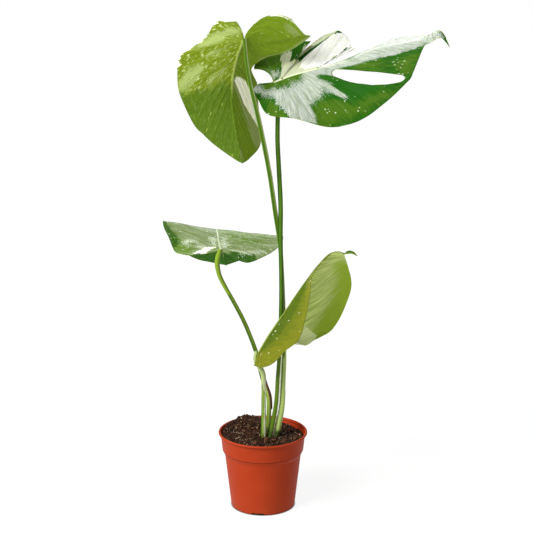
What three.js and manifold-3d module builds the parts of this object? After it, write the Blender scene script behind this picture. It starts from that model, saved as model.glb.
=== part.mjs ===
// Potted Thai Constellation monstera: a nursery pot, its soil, a short buried stem and four leaves.
// Millimetres, +Z up, -Y towards the viewer. The origin is the middle of the pot's underside.
import * as THREE from "three";
import { mergeVertices } from "three/addons/utils/BufferGeometryUtils.js";
import Module from "manifold-3d";

const wasm = await Module();
wasm.setup();

// Driving dimensions
const GAP = 0.3;
const POT_HEIGHT = 105;
const POT_WALL = 1.4;
const FOOT_RADIUS = 43.3;
const WAIST_RADIUS = 51.5;
const WAIST_HEIGHT = 73.5;
const BAND_RADIUS = 54.8;
const BAND_FOOT = 80;
const BAND_TOP_RADIUS = 56.6;
const BAND_TOP = 99;
const LIP_RADIUS = 59.8;
const LIP_FOOT = 101;
const HUB_RADIUS = 22;
const CHANNEL_HEIGHT = 3;
const FLOOR = 1.6;
const POT_SIDES = 40;
const NOTCHES = 4;
const NOTCH_WIDTH = 17;
const FIRST_NOTCH = THREE.MathUtils.degToRad(-99);
const DRAIN_RADIUS = 4;
const DRAIN_CIRCLE = 32;
const SOIL_LEVEL = 102;
const SOIL_SIDES = 32;
const SOIL_RINGS = 9;
const SOIL_RIM_DROP = 0.8;
const BLADE = 0.8;
const RIB = 1.4;
const STEM_RADIUS = 11.5;
const STEM_TOP = 79;
const STEM_FOOT = 46;
const STEM_CENTRE = [8.5, -13.5];
const PETIOLE_FOOT = STEM_TOP + GAP;
const STALK_STEP = 15;
const STALK_SIDES = 10;

// Turns a closed three.js geometry into a manifold solid.
function toSolid(geometry) {
  const bare = geometry.clone();
  bare.deleteAttribute("normal");
  bare.deleteAttribute("uv");
  const merged = mergeVertices(bare, 1e-4);
  return new wasm.Manifold(
    new wasm.Mesh({
      numProp: 3,
      vertProperties: new Float32Array(merged.attributes.position.array),
      triVerts: new Uint32Array(merged.index.array),
    }),
  );
}

// Turns a manifold solid back into a three.js geometry.
function toGeometry(solid) {
  const { numProp, vertProperties, triVerts } = solid.getMesh();
  const position = new Float32Array((vertProperties.length / numProp) * 3);
  for (let i = 0; i < position.length / 3; i++) {
    position.set(vertProperties.subarray(i * numProp, i * numProp + 3), i * 3);
  }
  const geometry = new THREE.BufferGeometry();
  geometry.setAttribute("position", new THREE.BufferAttribute(position, 3));
  geometry.setIndex(new THREE.BufferAttribute(new Uint32Array(triVerts), 1));
  return geometry;
}

// The main body of a solid, without the scraps that a cut leaves.
function largest(solid) {
  return solid.decompose().reduce((a, b) => (a.volume() > b.volume() ? a : b));
}

function node(name, solid, finish) {
  const geometry = toGeometry(solid);
  geometry.computeVertexNormals();
  const mesh = new THREE.Mesh(geometry, new THREE.MeshStandardMaterial(finish));
  mesh.name = name;
  return mesh;
}

// A profile of [radius, height] pairs, listed up the outside and down the inside, spun round Z.
function spun(profile, sides) {
  const points = profile.map(([radius, height]) => new THREE.Vector2(radius, height));
  return new THREE.LatheGeometry(points, sides).rotateX(Math.PI / 2);
}

// Uniform Catmull-Rom through rows of numbers, held at both ends.
function blend(rows, at) {
  const last = rows.length - 1;
  const i = Math.min(Math.floor(at), last - 1);
  const t = at - i;
  const [b, c] = [rows[i], rows[i + 1]];
  const a = i > 0 ? rows[i - 1] : b.map((v, k) => 2 * v - c[k]);
  const d = i + 2 <= last ? rows[i + 2] : c.map((v, k) => 2 * v - b[k]);
  return b.map((v, k) => {
    const cubic = 3 * (v - c[k]) + d[k] - a[k];
    const square = 2 * a[k] - 5 * v + 4 * c[k] - d[k];
    return v + 0.5 * t * (c[k] - a[k] + t * (square + t * cubic));
  });
}

// Pot: a thin moulded shell on a skirt and a low hub, with drain holes in the channel between them
function pot() {
  const shell = spun(
    [
      [0, 0],
      [HUB_RADIUS, 0],
      [HUB_RADIUS + 1.5, CHANNEL_HEIGHT],
      [FOOT_RADIUS - POT_WALL - 0.4, CHANNEL_HEIGHT],
      [FOOT_RADIUS - POT_WALL - 0.8, 0],
      [FOOT_RADIUS - 0.9, 0],
      [FOOT_RADIUS, 1.4],
      [WAIST_RADIUS, WAIST_HEIGHT],
      [BAND_RADIUS, BAND_FOOT],
      [BAND_TOP_RADIUS, BAND_TOP],
      [LIP_RADIUS - 0.4, LIP_FOOT],
      [LIP_RADIUS + 0.2, LIP_FOOT + 1.5],
      [LIP_RADIUS, POT_HEIGHT - 0.9],
      [LIP_RADIUS - 0.9, POT_HEIGHT],
      [LIP_RADIUS - 2.2, POT_HEIGHT],
      [BAND_TOP_RADIUS - POT_WALL, BAND_TOP - 0.5],
      [BAND_RADIUS - POT_WALL, BAND_FOOT + 0.6],
      [WAIST_RADIUS - POT_WALL, WAIST_HEIGHT + 0.6],
      [FOOT_RADIUS - POT_WALL, CHANNEL_HEIGHT + FLOOR],
      [HUB_RADIUS + 0.5, CHANNEL_HEIGHT + FLOOR],
      [HUB_RADIUS - 1, FLOOR],
      [0, FLOOR],
    ],
    POT_SIDES,
  );
  let solid = toSolid(shell);
  for (let i = 0; i < NOTCHES; i++) {
    const angle = FIRST_NOTCH + (i * 2 * Math.PI) / NOTCHES;
    const notch = new THREE.BoxGeometry(8, NOTCH_WIDTH, 2 * CHANNEL_HEIGHT - 0.4)
      .translate(FOOT_RADIUS, 0, 0)
      .rotateZ(angle);
    solid = solid.subtract(toSolid(notch));
    const drain = new THREE.CylinderGeometry(DRAIN_RADIUS, DRAIN_RADIUS, 12, 12)
      .rotateX(Math.PI / 2)
      .translate(DRAIN_CIRCLE, 0, CHANNEL_HEIGHT)
      .rotateZ(angle + Math.PI / NOTCHES);
    solid = solid.subtract(toSolid(drain));
  }
  return solid;
}

// Height of the soil: it leans up to the left, heaps at the back left and is crumbly all over.
function soilHeight(x, y) {
  const heap = 8 * Math.exp(-((x + 22) ** 2 + (y - 38) ** 2) / 420);
  const hollow = -3.5 * Math.exp(-((x - 34) ** 2 + (y - 28) ** 2) / 420);
  const mound = 1.5 * Math.exp(-((x - 8) ** 2 + (y + 13) ** 2) / 300);
  const crumb = 0.8 * Math.sin(0.71 * x + 0.33 * y) * Math.cos(0.58 * y - 0.21 * x);
  return SOIL_LEVEL - 0.045 * x + heap + hollow + mound + crumb;
}

// Soil: it fills the pot to its walls, and the stem and the leaf stalks stand in plain holes in it.
function soil(inside) {
  const edge = BAND_TOP_RADIUS - POT_WALL - GAP - 0.4;
  const profile = [
    [0, FLOOR + GAP],
    [HUB_RADIUS - 1.3, FLOOR + GAP],
    [HUB_RADIUS + 0.2, CHANNEL_HEIGHT + FLOOR + GAP],
    [FOOT_RADIUS - POT_WALL - GAP - 0.1, CHANNEL_HEIGHT + FLOOR + GAP],
    [WAIST_RADIUS - POT_WALL - GAP - 0.1, WAIST_HEIGHT + 0.4],
    [BAND_RADIUS - POT_WALL - GAP - 0.2, BAND_FOOT],
  ];
  for (let i = 0; i <= SOIL_RINGS; i++) {
    profile.push([edge * (1 - i / SOIL_RINGS), SOIL_LEVEL]);
  }
  const geometry = spun(profile, SOIL_SIDES);
  const p = geometry.attributes.position;
  for (let i = 0; i < p.count; i++) {
    const [x, y, z] = [p.getX(i), p.getY(i), p.getZ(i)];
    const sunk = Math.hypot(x, y) > edge - 0.1 ? SOIL_RIM_DROP : 0;
    if (z === SOIL_LEVEL) p.setZ(i, soilHeight(x, y) - sunk);
  }
  return inside.reduce((solid, piece) => solid.subtract(piece), toSolid(geometry));
}

// Stem: the short buried stem that the four leaves grew from
function stem(grow) {
  const r = STEM_RADIUS + grow;
  const top = STEM_TOP + grow;
  const foot = STEM_FOOT - grow;
  const profile = [
    [0, foot],
    [r * 0.45, foot],
    [r * 0.8, foot + 4],
    [r * 0.92, foot + 12],
    [r * 0.86, foot + 14],
    [r, top - 6],
    [r, top],
    [0, top],
  ];
  return toSolid(spun(profile, 20).translate(STEM_CENTRE[0], STEM_CENTRE[1], 0));
}

// A leaf stalk: rows of [x, y, z, radius] from its foot to its tip; its foot is a flattened sheath.
function petiole(rows, grow) {
  const route = new THREE.CatmullRomCurve3(
    rows.map(([x, y, z]) => new THREE.Vector3(x, y, z)),
    false,
    "centripetal",
  );
  const steps = Math.max(10, Math.round(route.getLength() / STALK_STEP));
  const geometry = new THREE.CylinderGeometry(1, 1, 1, STALK_SIDES, steps);
  const frames = route.computeFrenetFrames(steps, false);
  const p = geometry.attributes.position;
  for (let i = 0; i < p.count; i++) {
    const k = Math.round((p.getY(i) + 0.5) * steps);
    const along = route.getUtoTmapping(k / steps) * (rows.length - 1);
    const radius = blend(rows, along)[3] + grow;
    const centre = route.getPointAt(k / steps);
    if (grow && k === 0) centre.addScaledVector(frames.tangents[0], -grow);
    const spoke = frames.normals[k]
      .clone()
      .multiplyScalar(p.getZ(i) * radius)
      .addScaledVector(frames.binormals[k], p.getX(i) * radius);
    p.setXYZ(i, centre.x + spoke.x, centre.y + spoke.y, centre.z + spoke.z);
  }
  return toSolid(geometry);
}

// One half of a blade. Each lobe lists its veins as [share of the midrib where it leaves, x, y, z of its
// end on the margin, sweep, arch]; sweep bows the vein towards the tip and arch towards the upper face.
function half(midrib, side, lobes) {
  const tip = midrib.getPointAt(1);
  lobes[lobes.length - 1].push([1, tip.x, tip.y, tip.z]);
  return lobes.map((lobe) => {
    const ends = lobe.map(([, x, y, z]) => new THREE.Vector3(x, y, z));
    const veins = lobe.map(([s, , , , sweep = 0, arch = 0], i) => {
      const start = midrib.getPointAt(s);
      const onward = ends[Math.min(i + 1, ends.length - 1)].clone().sub(ends[Math.max(i - 1, 0)]);
      const along = ends[i].clone().sub(start).normalize();
      onward.addScaledVector(along, -onward.dot(along)).normalize();
      const up = onward.clone().cross(along).multiplyScalar(side);
      const middle = start
        .clone()
        .add(ends[i])
        .multiplyScalar(0.5)
        .addScaledVector(onward, 2 * sweep)
        .addScaledVector(up, 2 * arch);
      return [...ends[i].toArray(), ...(s < 1 ? middle : tip).toArray()];
    });
    return { starts: lobe.map(([s]) => s), veins };
  });
}

// The point of a lobe at vein number q and share r of the way from midrib to margin.
function surfacePoint(midrib, lobe, q, r) {
  const i = Math.min(Math.floor(q), lobe.starts.length - 2);
  const s = THREE.MathUtils.lerp(lobe.starts[i], lobe.starts[i + 1], q - i);
  const [ex, ey, ez, cx, cy, cz] = blend(lobe.veins, q);
  return midrib
    .getPointAt(s)
    .multiplyScalar((1 - r) ** 2)
    .addScaledVector(new THREE.Vector3(cx, cy, cz), 2 * r * (1 - r))
    .addScaledVector(new THREE.Vector3(ex, ey, ez), r * r);
}

// Rows from midrib to margin, columns between two veins that leave from one point, and the widest step
// between stations along the midrib before one more is added.
const ROWS = [0, 0.07, 0.17, 0.3, 0.46, 0.62, 0.78, 0.94, 1];
const FAN_STEPS = 2;
const STATION_STEP = 0.05;

// A blade: both halves meshed from shared midrib stations, then given its thickness. cuts lists, for each
// gap between lobes, the share of the way out where it opens and where it is closed again.
function blade({ spine, left, right, leftCuts = [], rightCuts = [] }, thickness) {
  const midrib = new THREE.CatmullRomCurve3(
    spine.map(([x, y, z]) => new THREE.Vector3(x, y, z)),
    false,
    "centripetal",
  );
  const halves = [half(midrib, 1, structuredClone(left)), half(midrib, -1, structuredClone(right))];
  const starts = [...new Set(halves.flat().flatMap((lobe) => lobe.starts))].sort((a, b) => a - b);
  const stations = starts.flatMap((s, i) =>
    i + 1 < starts.length && starts[i + 1] - s > STATION_STEP ? [s, (s + starts[i + 1]) / 2] : [s],
  );
  const points = [];
  const keys = new Map();
  const faces = [];
  const ribs = new Set();
  const idOf = (p) => {
    const key = p.toArray().map((v) => v.toFixed(3)).join();
    if (!keys.has(key)) keys.set(key, points.push(p) - 1);
    return keys.get(key);
  };
  halves.forEach((lobes, h) => {
    const cuts = h === 0 ? leftCuts : rightCuts;
    const columns = [];
    lobes.forEach((lobe, n) => {
      const { starts: own } = lobe;
      const places = [];
      own.forEach((s, i) => {
        if (i + 1 < own.length && own[i + 1] === s) {
          for (let k = 0; k < FAN_STEPS; k++) places.push(i + k / FAN_STEPS);
        } else if (i + 1 < own.length) {
          stations
            .filter((v) => v >= s && v < own[i + 1])
            .forEach((v) => places.push(i + (v - s) / (own[i + 1] - s)));
        } else places.push(i);
      });
      places.forEach((q, k) =>
        columns.push({
          gap: k === 0 && n > 0 ? cuts[n - 1] : null,
          ids: ROWS.map((r) => {
            const id = idOf(surfacePoint(midrib, lobe, q, r));
            if (r === 0) ribs.add(id);
            return id;
          }),
        }),
      );
    });
    for (let c = 1; c < columns.length; c++) {
      const [a, b] = [columns[c - 1].ids, columns[c].ids];
      const gap = columns[c].gap;
      for (let j = 1; j < ROWS.length; j++) {
        if (gap && ROWS[j] > gap[0] && ROWS[j] <= gap[1]) continue;
        const quad = h === 0 ? [a[j - 1], b[j - 1], b[j], a[j]] : [a[j], b[j], b[j - 1], a[j - 1]];
        for (const face of [[quad[0], quad[1], quad[2]], [quad[0], quad[2], quad[3]]]) {
          if (new Set(face).size === 3) faces.push(face);
        }
      }
    }
  });
  return toSolid(thicken(points, faces, ribs, thickness));
}

// Both faces of a sheet, half its thickness away on each side, and the walls round its edges. The midrib
// stands proud of the underside, most at the leaf's base.
function thicken(points, faces, ribs, thickness) {
  const normals = points.map(() => new THREE.Vector3());
  const edges = new Map();
  for (const [a, b, c] of faces) {
    const ab = points[b].clone().sub(points[a]);
    const normal = ab.cross(points[c].clone().sub(points[a]));
    for (const [v, w] of [[a, b], [b, c], [c, a]]) {
      normals[v].add(normal);
      edges.set(v + "," + w, [v, w]);
    }
  }
  normals.forEach((n) => n.normalize());
  const spine = [...ribs];
  const depth = points.map((p, i) => {
    const order = spine.indexOf(i);
    return thickness / 2 + (order < 0 ? 0 : RIB * (1 - order / spine.length));
  });
  const count = points.length;
  const position = new Float32Array(count * 6);
  points.forEach((p, i) => {
    const top = p.clone().addScaledVector(normals[i], thickness / 2);
    const under = p.clone().addScaledVector(normals[i], -depth[i]);
    position.set(top.toArray(), i * 3);
    position.set(under.toArray(), (i + count) * 3);
  });
  const index = faces.flatMap(([a, b, c]) => [a, b, c, c + count, b + count, a + count]);
  for (const [v, w] of edges.values()) {
    if (edges.has(w + "," + v)) continue;
    index.push(v, v + count, w + count, v, w + count, w);
  }
  const geometry = new THREE.BufferGeometry();
  geometry.setAttribute("position", new THREE.BufferAttribute(position, 3));
  geometry.setIndex(index);
  return geometry;
}

// Leaf blades, from the back of each lobe round to the drip tip
const LEAVES = {
  // It hangs behind its stalk with its underside to the front.
  leaf_upper_left: {
    spine: [
      [-23, -22, 635],
      [-32, -12, 612],
      [-38, -4, 584],
      [-39, 0, 553],
      [-34, -3, 514],
      [-26, -12, 475],
    ],
    left: [
      [
        [0, -33, -18, 657, -1.8],
        [0, -43, -14, 656],
        [0, -59, -9, 655],
        [0, -72, -3, 636],
        [0, -96, 2, 618],
        [0.02, -109, 4, 613],
        [0.06, -109, 5, 595],
        [0.14, -107, 5, 565],
        [0.3, -90, 3, 525],
        [0.44, -76, 0, 510],
        [0.6, -60, -4, 496],
        [0.84, -36, -10, 480],
      ],
    ],
    right: [
      [
        [0, -15, -21, 649, -1.5],
        [0, -2, -18, 660],
        [0, 14, -14, 665],
        [0, 31, -10, 663],
        [0.02, 41, -7, 652.5],
        [0.06, 53, -3, 639],
        [0.12, 60, 0, 636],
        [0.15, 44, 0, 624],
        [0.17, 30, 0, 616.5],
        [0.18, 15.6, 0, 612.7],
        [0.19, 3.4, 1, 608.5],
        [0.2, -8.8, 3, 600.8],
        [0.21, -14.2, 8, 593.8],
        [0.24, -12.5, 16, 585.7],
        [0.28, -6.5, 27, 570],
        [0.33, -6, 36, 549],
        [0.44, -4, 38, 520],
        [0.6, -3, 26, 493],
        [0.84, -17, 2, 479],
      ],
    ],
  },
  // Its tip points right and its upper face looks to the front; a thin bridge closes one long hole.
  leaf_upper_right: {
    spine: [
      [14.5, -2.8, 578.5],
      [37, 4, 586],
      [73, 10, 595],
      [111, 12, 605],
      [142, 10, 618],
      [177, 6, 626],
      [206, 2, 631],
      [215, 1, 636],
      [223, 0, 639],
      [231, -1, 634],
      [237, -2, 623],
    ],
    right: [
      [
        [0, -5, -11, 578],
        [0, -10.5, -14, 573],
        [0, -12, -19, 567],
        [0, -6, -24, 560],
        [0, 7, -34, 542],
        [0.02, 41, -36, 537],
        [0.06, 82, -34, 526],
        [0.1, 110, -30, 529],
        [0.14, 131, -24, 537],
        [0.17, 151, -18, 551],
        [0.2, 166, -14, 563],
        [0.24, 187, -8, 583, -14],
      ],
      [
        [0.24, 189, -6, 586, 2],
        [0.42, 198, -2, 608],
        [0.65, 205, 0, 624],
        [0.83, 212, 0, 628],
        [0.92, 225, -1, 634],
      ],
    ],
    rightCuts: [[0.17, 0.94]],
    left: [
      [
        [0, -11, 6, 593.5, 8],
        [0, -10, 12, 598, 6],
        [0, 4, 24, 616],
        [0, 31, 30, 625],
        [0.04, 62, 34, 626],
      ],
      [
        [0.04, 66, 42, 623, -4],
        [0.06, 77, 50, 630],
        [0.08, 89, 56, 634],
        [0.1, 99, 61, 636],
        [0.14, 110, 60, 627],
        [0.24, 115, 52, 615],
      ],
      [
        [0.24, 123, 70, 614],
        [0.32, 142, 80, 620],
        [0.42, 160, 76, 623],
        [0.54, 179, 64, 627],
        [0.7, 199, 38, 632],
        [0.83, 210, 7, 637],
        [0.92, 224, 3, 643],
      ],
    ],
    leftCuts: [[0.3, 1], [0.3, 1]],
  },
  // It arches away from the viewer over a level ridge, and its tip hangs down behind.
  leaf_middle_left: {
    spine: [
      [-55, -12, 360],
      [-58, 2, 368],
      [-60, 20, 375],
      [-62, 38, 376],
      [-61, 62, 365],
      [-57, 86, 339],
      [-51, 104, 309],
    ],
    left: [
      [
        [0, -83, -22, 359, 1.5],
        [0, -94, -26, 357],
        [0, -106, -24, 358],
        [0.02, -115, -16, 360],
        [0.06, -123, 2, 373],
        [0.18, -131, 22, 383],
        [0.33, -132, 37, 387],
        [0.5, -124, 62, 361],
        [0.65, -110, 82, 335],
        [0.8, -91, 94, 320],
        [0.92, -69, 101, 313],
      ],
    ],
    right: [
      [
        [0, -35, -24, 351, 3],
        [0, -19, -26, 347],
        [0, -1, -16, 351],
        [0.02, 15, -2, 357],
        [0.06, 24, 14, 362],
        [0.33, 27, 33, 367],
        [0.5, 19, 58, 352],
        [0.65, 1, 78, 334],
        [0.8, -18, 92, 323],
        [0.92, -34, 99, 316],
      ],
    ],
  },
  // The youngest leaf stands on edge, folded along its midrib and open to the right.
  leaf_lower_right: {
    spine: [
      [-6, -27, 222.5],
      [6.8, -29, 246],
      [30, -32, 283],
      [51.5, -34, 317],
      [72.6, -33, 346],
      [88, -32, 361],
      [98, -31.5, 362.5],
      [106, -32, 360.3],
      [111, -33, 362.8],
      [117, -34, 363],
      [122, -35, 358],
    ],
    left: [
      [
        [0, -12, -34, 209],
        [0, -1, -44, 210],
        [0, 11, -52, 217],
        [0.03, 19, -58, 226],
        [0.08, 29, -64, 240],
        [0.16, 43, -69, 253],
        [0.24, 50, -71, 267],
        [0.32, 53, -71, 280],
        [0.42, 57, -69, 297],
        [0.53, 60, -64, 318],
        [0.6, 62.4, -56, 335.3],
        [0.7, 72.5, -44, 348.2],
        [0.78, 81.7, -38, 356.1],
        [0.85, 88.9, -35, 362],
        [0.89, 97, -33.5, 364],
        [0.915, 105, -33.4, 361.6],
        [0.94, 109.5, -33.8, 364.8],
        [0.965, 115.5, -34.5, 364.2],
      ],
    ],
    right: [
      [
        [0, 4, -27, 219],
        [0.02, 24, -29, 233],
        [0.07, 44, -27, 239],
        [0.1, 56, -23, 233],
        [0.13, 67, -17, 238],
        [0.17, 78, -11, 242],
        [0.23, 90, -5, 248],
        [0.3, 100, -1, 261],
        [0.38, 109, 2, 280],
        [0.48, 116, 3, 302],
        [0.57, 116, 0, 319],
        [0.68, 111, -9, 339],
        [0.85, 106, -25, 356.5],
        [0.92, 108, -31.5, 360],
        [0.965, 115, -33.5, 360.8],
      ],
    ],
  },
};

// Leaf stalks, each from its sheathing foot on the stem to the knee that carries its blade
const STALKS = {
  petiole_upper_left: [
    [16.5, -12, PETIOLE_FOOT, 3.6],
    [18, -12.5, 100, 4.2],
    [20.3, -12, 114, 4.4],
    [25.5, -12, 146, 3.9],
    [27, -11, 181, 3.6],
    [28, -11, 213, 3.5],
    [27, -11, 281, 3.0],
    [23, -14, 361, 2.8],
    [16, -18, 413, 3.1],
    [8.5, -24, 466, 3.1],
    [-5.4, -28, 537, 3.0],
    [-15.6, -28, 580, 2.5],
    [-20, -27, 607, 2.2],
    [-22.8, -22.5, 636, 2.3],
  ],
  petiole_upper_right: [
    [9, -15.5, PETIOLE_FOOT, 3.3],
    [9.5, -15.5, 97, 3.8],
    [13, -16, 119, 3.5],
    [18, -17, 151, 3.2],
    [20, -18, 184, 3.1],
    [22, -19, 216, 3.0],
    [24, -21, 284, 2.9],
    [24, -23, 332, 2.9],
    [23, -22, 380, 3.0],
    [23, -18, 422, 3.1],
    [21, -13, 464, 3.1],
    [19, -10, 504, 3.0],
    [19, -6, 543, 2.9],
    [17.5, -2.5, 562, 2.8],
    [15.6, 0.5, 572, 2.6],
    [14.8, 0.5, 578, 2.3],
  ],
  petiole_middle_left: [
    [6.5, -7.5, PETIOLE_FOOT, 3.0],
    [7, -7.5, 101, 3.1],
    [8, -7, 130, 3.2],
    [7.5, -6, 156, 3.2],
    [1, -6, 177, 3.1],
    [-4, -5, 196, 3.0],
    [-9, -5, 218, 2.9],
    [-17, -5, 241, 2.8],
    [-25.8, -6, 263, 2.8],
    [-38.5, -8, 289, 2.7],
    [-49.5, -10, 310, 2.8],
    [-57, -12, 327, 3.0],
    [-59.5, -13, 344, 3.4],
    [-58, -12.5, 353, 3.3],
    [-55.6, -12, 361, 2.8],
  ],
  petiole_lower_right: [
    [1, -18, PETIOLE_FOOT, 3.7],
    [1, -18, 104, 4.0],
    [1, -20.5, 140, 3.2],
    [1, -23.5, 177, 3.1],
    [0, -24, 195, 3.4],
    [-5, -23.5, 205, 3.5],
    [-9.4, -23.2, 214, 3.3],
    [-8.3, -25, 225, 3.1],
  ],
};

// The dead brown sheath left round the right of the middle leaf's stalk: a thin pointed wrap
const SHEATH_FOOT = 139;
const SHEATH_TOP = 184;
const SHEATH_TURN = THREE.MathUtils.degToRad(-15);
const SHEATH_SPREAD = THREE.MathUtils.degToRad(56);
const SHEATH_CLEAR = GAP + 0.3;

function drySheath() {
  const rows = STALKS.petiole_middle_left;
  const geometry = new THREE.BoxGeometry(1, 1, 1, 5, 1, 8);
  const p = geometry.attributes.position;
  for (let i = 0; i < p.count; i++) {
    const along = p.getZ(i) + 0.5;
    const z = THREE.MathUtils.lerp(SHEATH_FOOT, SHEATH_TOP, along);
    const k = rows.findIndex((row) => row[2] > z) - 1;
    const [x, y, , radius] = blend(rows, k + (z - rows[k][2]) / (rows[k + 1][2] - rows[k][2]));
    const width = 0.1 + 0.9 * Math.sin(Math.PI * (0.15 + 0.8 * along));
    const angle = SHEATH_TURN - SHEATH_SPREAD * width * 2 * p.getX(i);
    const out = radius + SHEATH_CLEAR + BLADE * (p.getY(i) + 0.5);
    p.setXYZ(i, x + out * Math.cos(angle), y + out * Math.sin(angle), z);
  }
  return toSolid(geometry);
}

const FINISH = {
  pot: { color: 0xc04a2c, roughness: 0.45, metalness: 0 },
  soil: { color: 0x3a271c, roughness: 0.95, metalness: 0 },
  stem: { color: 0x6f7d43, roughness: 0.7, metalness: 0 },
  petiole_upper_left: { color: 0x6c8a2e, roughness: 0.5, metalness: 0 },
  petiole_upper_right: { color: 0x4f7a30, roughness: 0.5, metalness: 0 },
  petiole_middle_left: { color: 0x7d9a45, roughness: 0.5, metalness: 0 },
  petiole_lower_right: { color: 0xa9bd6e, roughness: 0.5, metalness: 0 },
  dry_sheath: { color: 0x6b4527, roughness: 0.9, metalness: 0 },
  leaf_upper_left: { color: 0x7fa32f, roughness: 0.55, metalness: 0 },
  leaf_upper_right: { color: 0x2f7a2a, roughness: 0.35, metalness: 0 },
  leaf_middle_left: { color: 0x4f8a4a, roughness: 0.35, metalness: 0 },
  leaf_lower_right: { color: 0x8fa83a, roughness: 0.5, metalness: 0 },
};

const plant = new THREE.Group();
for (const [name, leaf] of Object.entries(LEAVES)) {
  const stalk = name.replace("leaf", "petiole");
  const body = blade(leaf, BLADE);
  const seat = blade(leaf, BLADE + 2 * GAP);
  plant.add(node(name, body, FINISH[name]));
  plant.add(node(stalk, largest(petiole(STALKS[stalk], 0).subtract(seat).subtract(body)), FINISH[stalk]));
}
plant.add(node("dry_sheath", drySheath(), FINISH.dry_sheath));
plant.add(node("stem", stem(0), FINISH.stem));

const buried = [stem(GAP), ...Object.values(STALKS).map((rows) => petiole(rows, GAP))];
const group = new THREE.Group();
group.add(node("pot", pot(), FINISH.pot));
group.add(node("soil", soil(buried), FINISH.soil));
group.add(plant);

export default group;
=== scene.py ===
"""Looks of a potted marbled monstera: a moulded nursery pot, peaty soil, four leaf stalks and four blades.

The tables are in millimetres and the meshes in metres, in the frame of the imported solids.
"""

import logging
import math
import random
from dataclasses import dataclass
from enum import Enum

import bmesh
import bpy
import numpy as np
from mathutils import Euler, Matrix, Vector, noise


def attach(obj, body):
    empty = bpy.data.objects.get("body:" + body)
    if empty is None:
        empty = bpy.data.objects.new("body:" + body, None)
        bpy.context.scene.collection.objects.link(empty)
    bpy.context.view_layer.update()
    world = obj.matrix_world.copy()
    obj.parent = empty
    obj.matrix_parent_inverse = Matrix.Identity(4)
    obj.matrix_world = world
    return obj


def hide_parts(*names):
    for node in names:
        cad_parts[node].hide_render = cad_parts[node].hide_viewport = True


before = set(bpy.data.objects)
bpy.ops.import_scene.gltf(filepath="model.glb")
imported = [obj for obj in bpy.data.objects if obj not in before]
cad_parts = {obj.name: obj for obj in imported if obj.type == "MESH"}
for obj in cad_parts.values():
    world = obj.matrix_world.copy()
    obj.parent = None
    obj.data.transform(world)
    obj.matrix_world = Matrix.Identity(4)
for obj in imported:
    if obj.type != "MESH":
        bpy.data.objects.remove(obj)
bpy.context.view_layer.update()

LOG = logging.getLogger("potted_monstera")
MM = 0.001
WELD = 1e-6
# Stalks and blades carry a map of their own surface: across and along the fibres, in units of VEIN_MAP_MM.
VEIN_MAP = "veins"
VEIN_MAP_MM = 100.0
# The right half of a blade lies this far along the map, clear of the left half.
RIGHT_HALF_MM = 450
# How deep a point lies inside a patch of colour is kept within this many mm.
FAR = 20.0
Row = tuple[float, ...]
Rows = tuple[Row, ...]
Tree = bpy.types.NodeTree
Node = bpy.types.Node
Layer = bmesh.types.BMLayerItem


class Side(Enum):
    """The two halves of a blade, seen from above with the tip away."""

    LEFT = 1
    RIGHT = -1


class Mark(Enum):
    """The colours laid over a blade's green, from the lowest layer to the highest: its marbling, and dark and
    light patches of which some are painted shade and painted light.
    """

    DARK = "dark"
    LIGHT = "light"
    SAGE = "sage"
    SILVER = "silver"
    CREAM = "cream"


class Band(Enum):
    """The colours that stripe a stalk's green, from the lowest layer to the highest."""

    WAN = "wan"
    FOOT = "foot"
    DEEP = "deep"
    PALE = "pale"


def linear(code: str) -> tuple[float, float, float, float]:
    """Turns an sRGB hex colour to linear values with full alpha."""
    parts = [int(code[i : i + 2], 16) / 255 for i in (1, 3, 5)]
    return (*[c / 12.92 if c <= 0.04045 else ((c + 0.055) / 1.055) ** 2.4 for c in parts], 1.0)


def add(tree: Tree, kind: str, inputs: dict | None = None, **settings) -> Node:
    """Adds a shader node with its settings, and sets or links its inputs.

    Args:
        tree: The material's node tree.
        kind: The node's type, without its prefix.
        inputs: A value, node or output socket for each named or numbered input.
        **settings: Properties of the node itself.

    Returns:
        The new node.
    """
    node = tree.nodes.new("ShaderNode" + kind)
    for name, value in settings.items():
        setattr(node, name, value)
    for key, value in (inputs or {}).items():
        if isinstance(value, Node):
            value = value.outputs[0]
        if isinstance(value, bpy.types.NodeSocket):
            tree.links.new(value, node.inputs[key])
        else:
            node.inputs[key].default_value = value
    return node


def new_material(name: str) -> tuple[bpy.types.Material, Tree]:
    """Makes an empty node material.

    Args:
        name: The material's name.

    Returns:
        The material and its cleared node tree.
    """
    material = bpy.data.materials.new(name)
    material.use_nodes = True
    material.node_tree.nodes.clear()
    return material, material.node_tree


def end_material(tree: Tree, inputs: dict, relief: tuple[Node, float, float] | None = None) -> None:
    """Ends a material with its relief, its shader and its output.

    Args:
        tree: The material's node tree.
        inputs: The shader's inputs.
        relief: The height, the strength and the depth in mm of the surface's finest relief.
    """
    if relief:
        height, strength, depth = relief
        bump = add(tree, "Bump", {"Strength": strength, "Distance": depth * MM, "Height": height})
        inputs = inputs | {"Normal": bump}
    add(tree, "OutputMaterial", {"Surface": add(tree, "BsdfPrincipled", inputs)})


def rows_round(rows: np.ndarray, at: np.ndarray) -> tuple[np.ndarray, list[np.ndarray]]:
    """Finds the two rows before and the two rows after each place.

    Args:
        rows: One row of numbers per knot.
        at: Places counted in rows.

    Returns:
        How far each place lies from its second row to its third, and the four rows.
    """
    rows = np.asarray(rows, float)
    held = np.vstack([2 * rows[0] - rows[1], rows, 2 * rows[-1] - rows[-2]])
    i = np.clip(np.floor(at).astype(int), 0, len(rows) - 2)
    return (np.asarray(at, float) - i)[:, None], [held[i + k] for k in range(4)]


def smooth_blend(rows: np.ndarray, at: np.ndarray) -> np.ndarray:
    """Reads rows of numbers at places between them, on a smooth line held at both ends."""
    t, (a, b, c, d) = rows_round(rows, at)
    return b + 0.5 * t * (c - a + t * (2 * a - 5 * b + 4 * c - d + t * (3 * (b - c) + d - a)))


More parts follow.
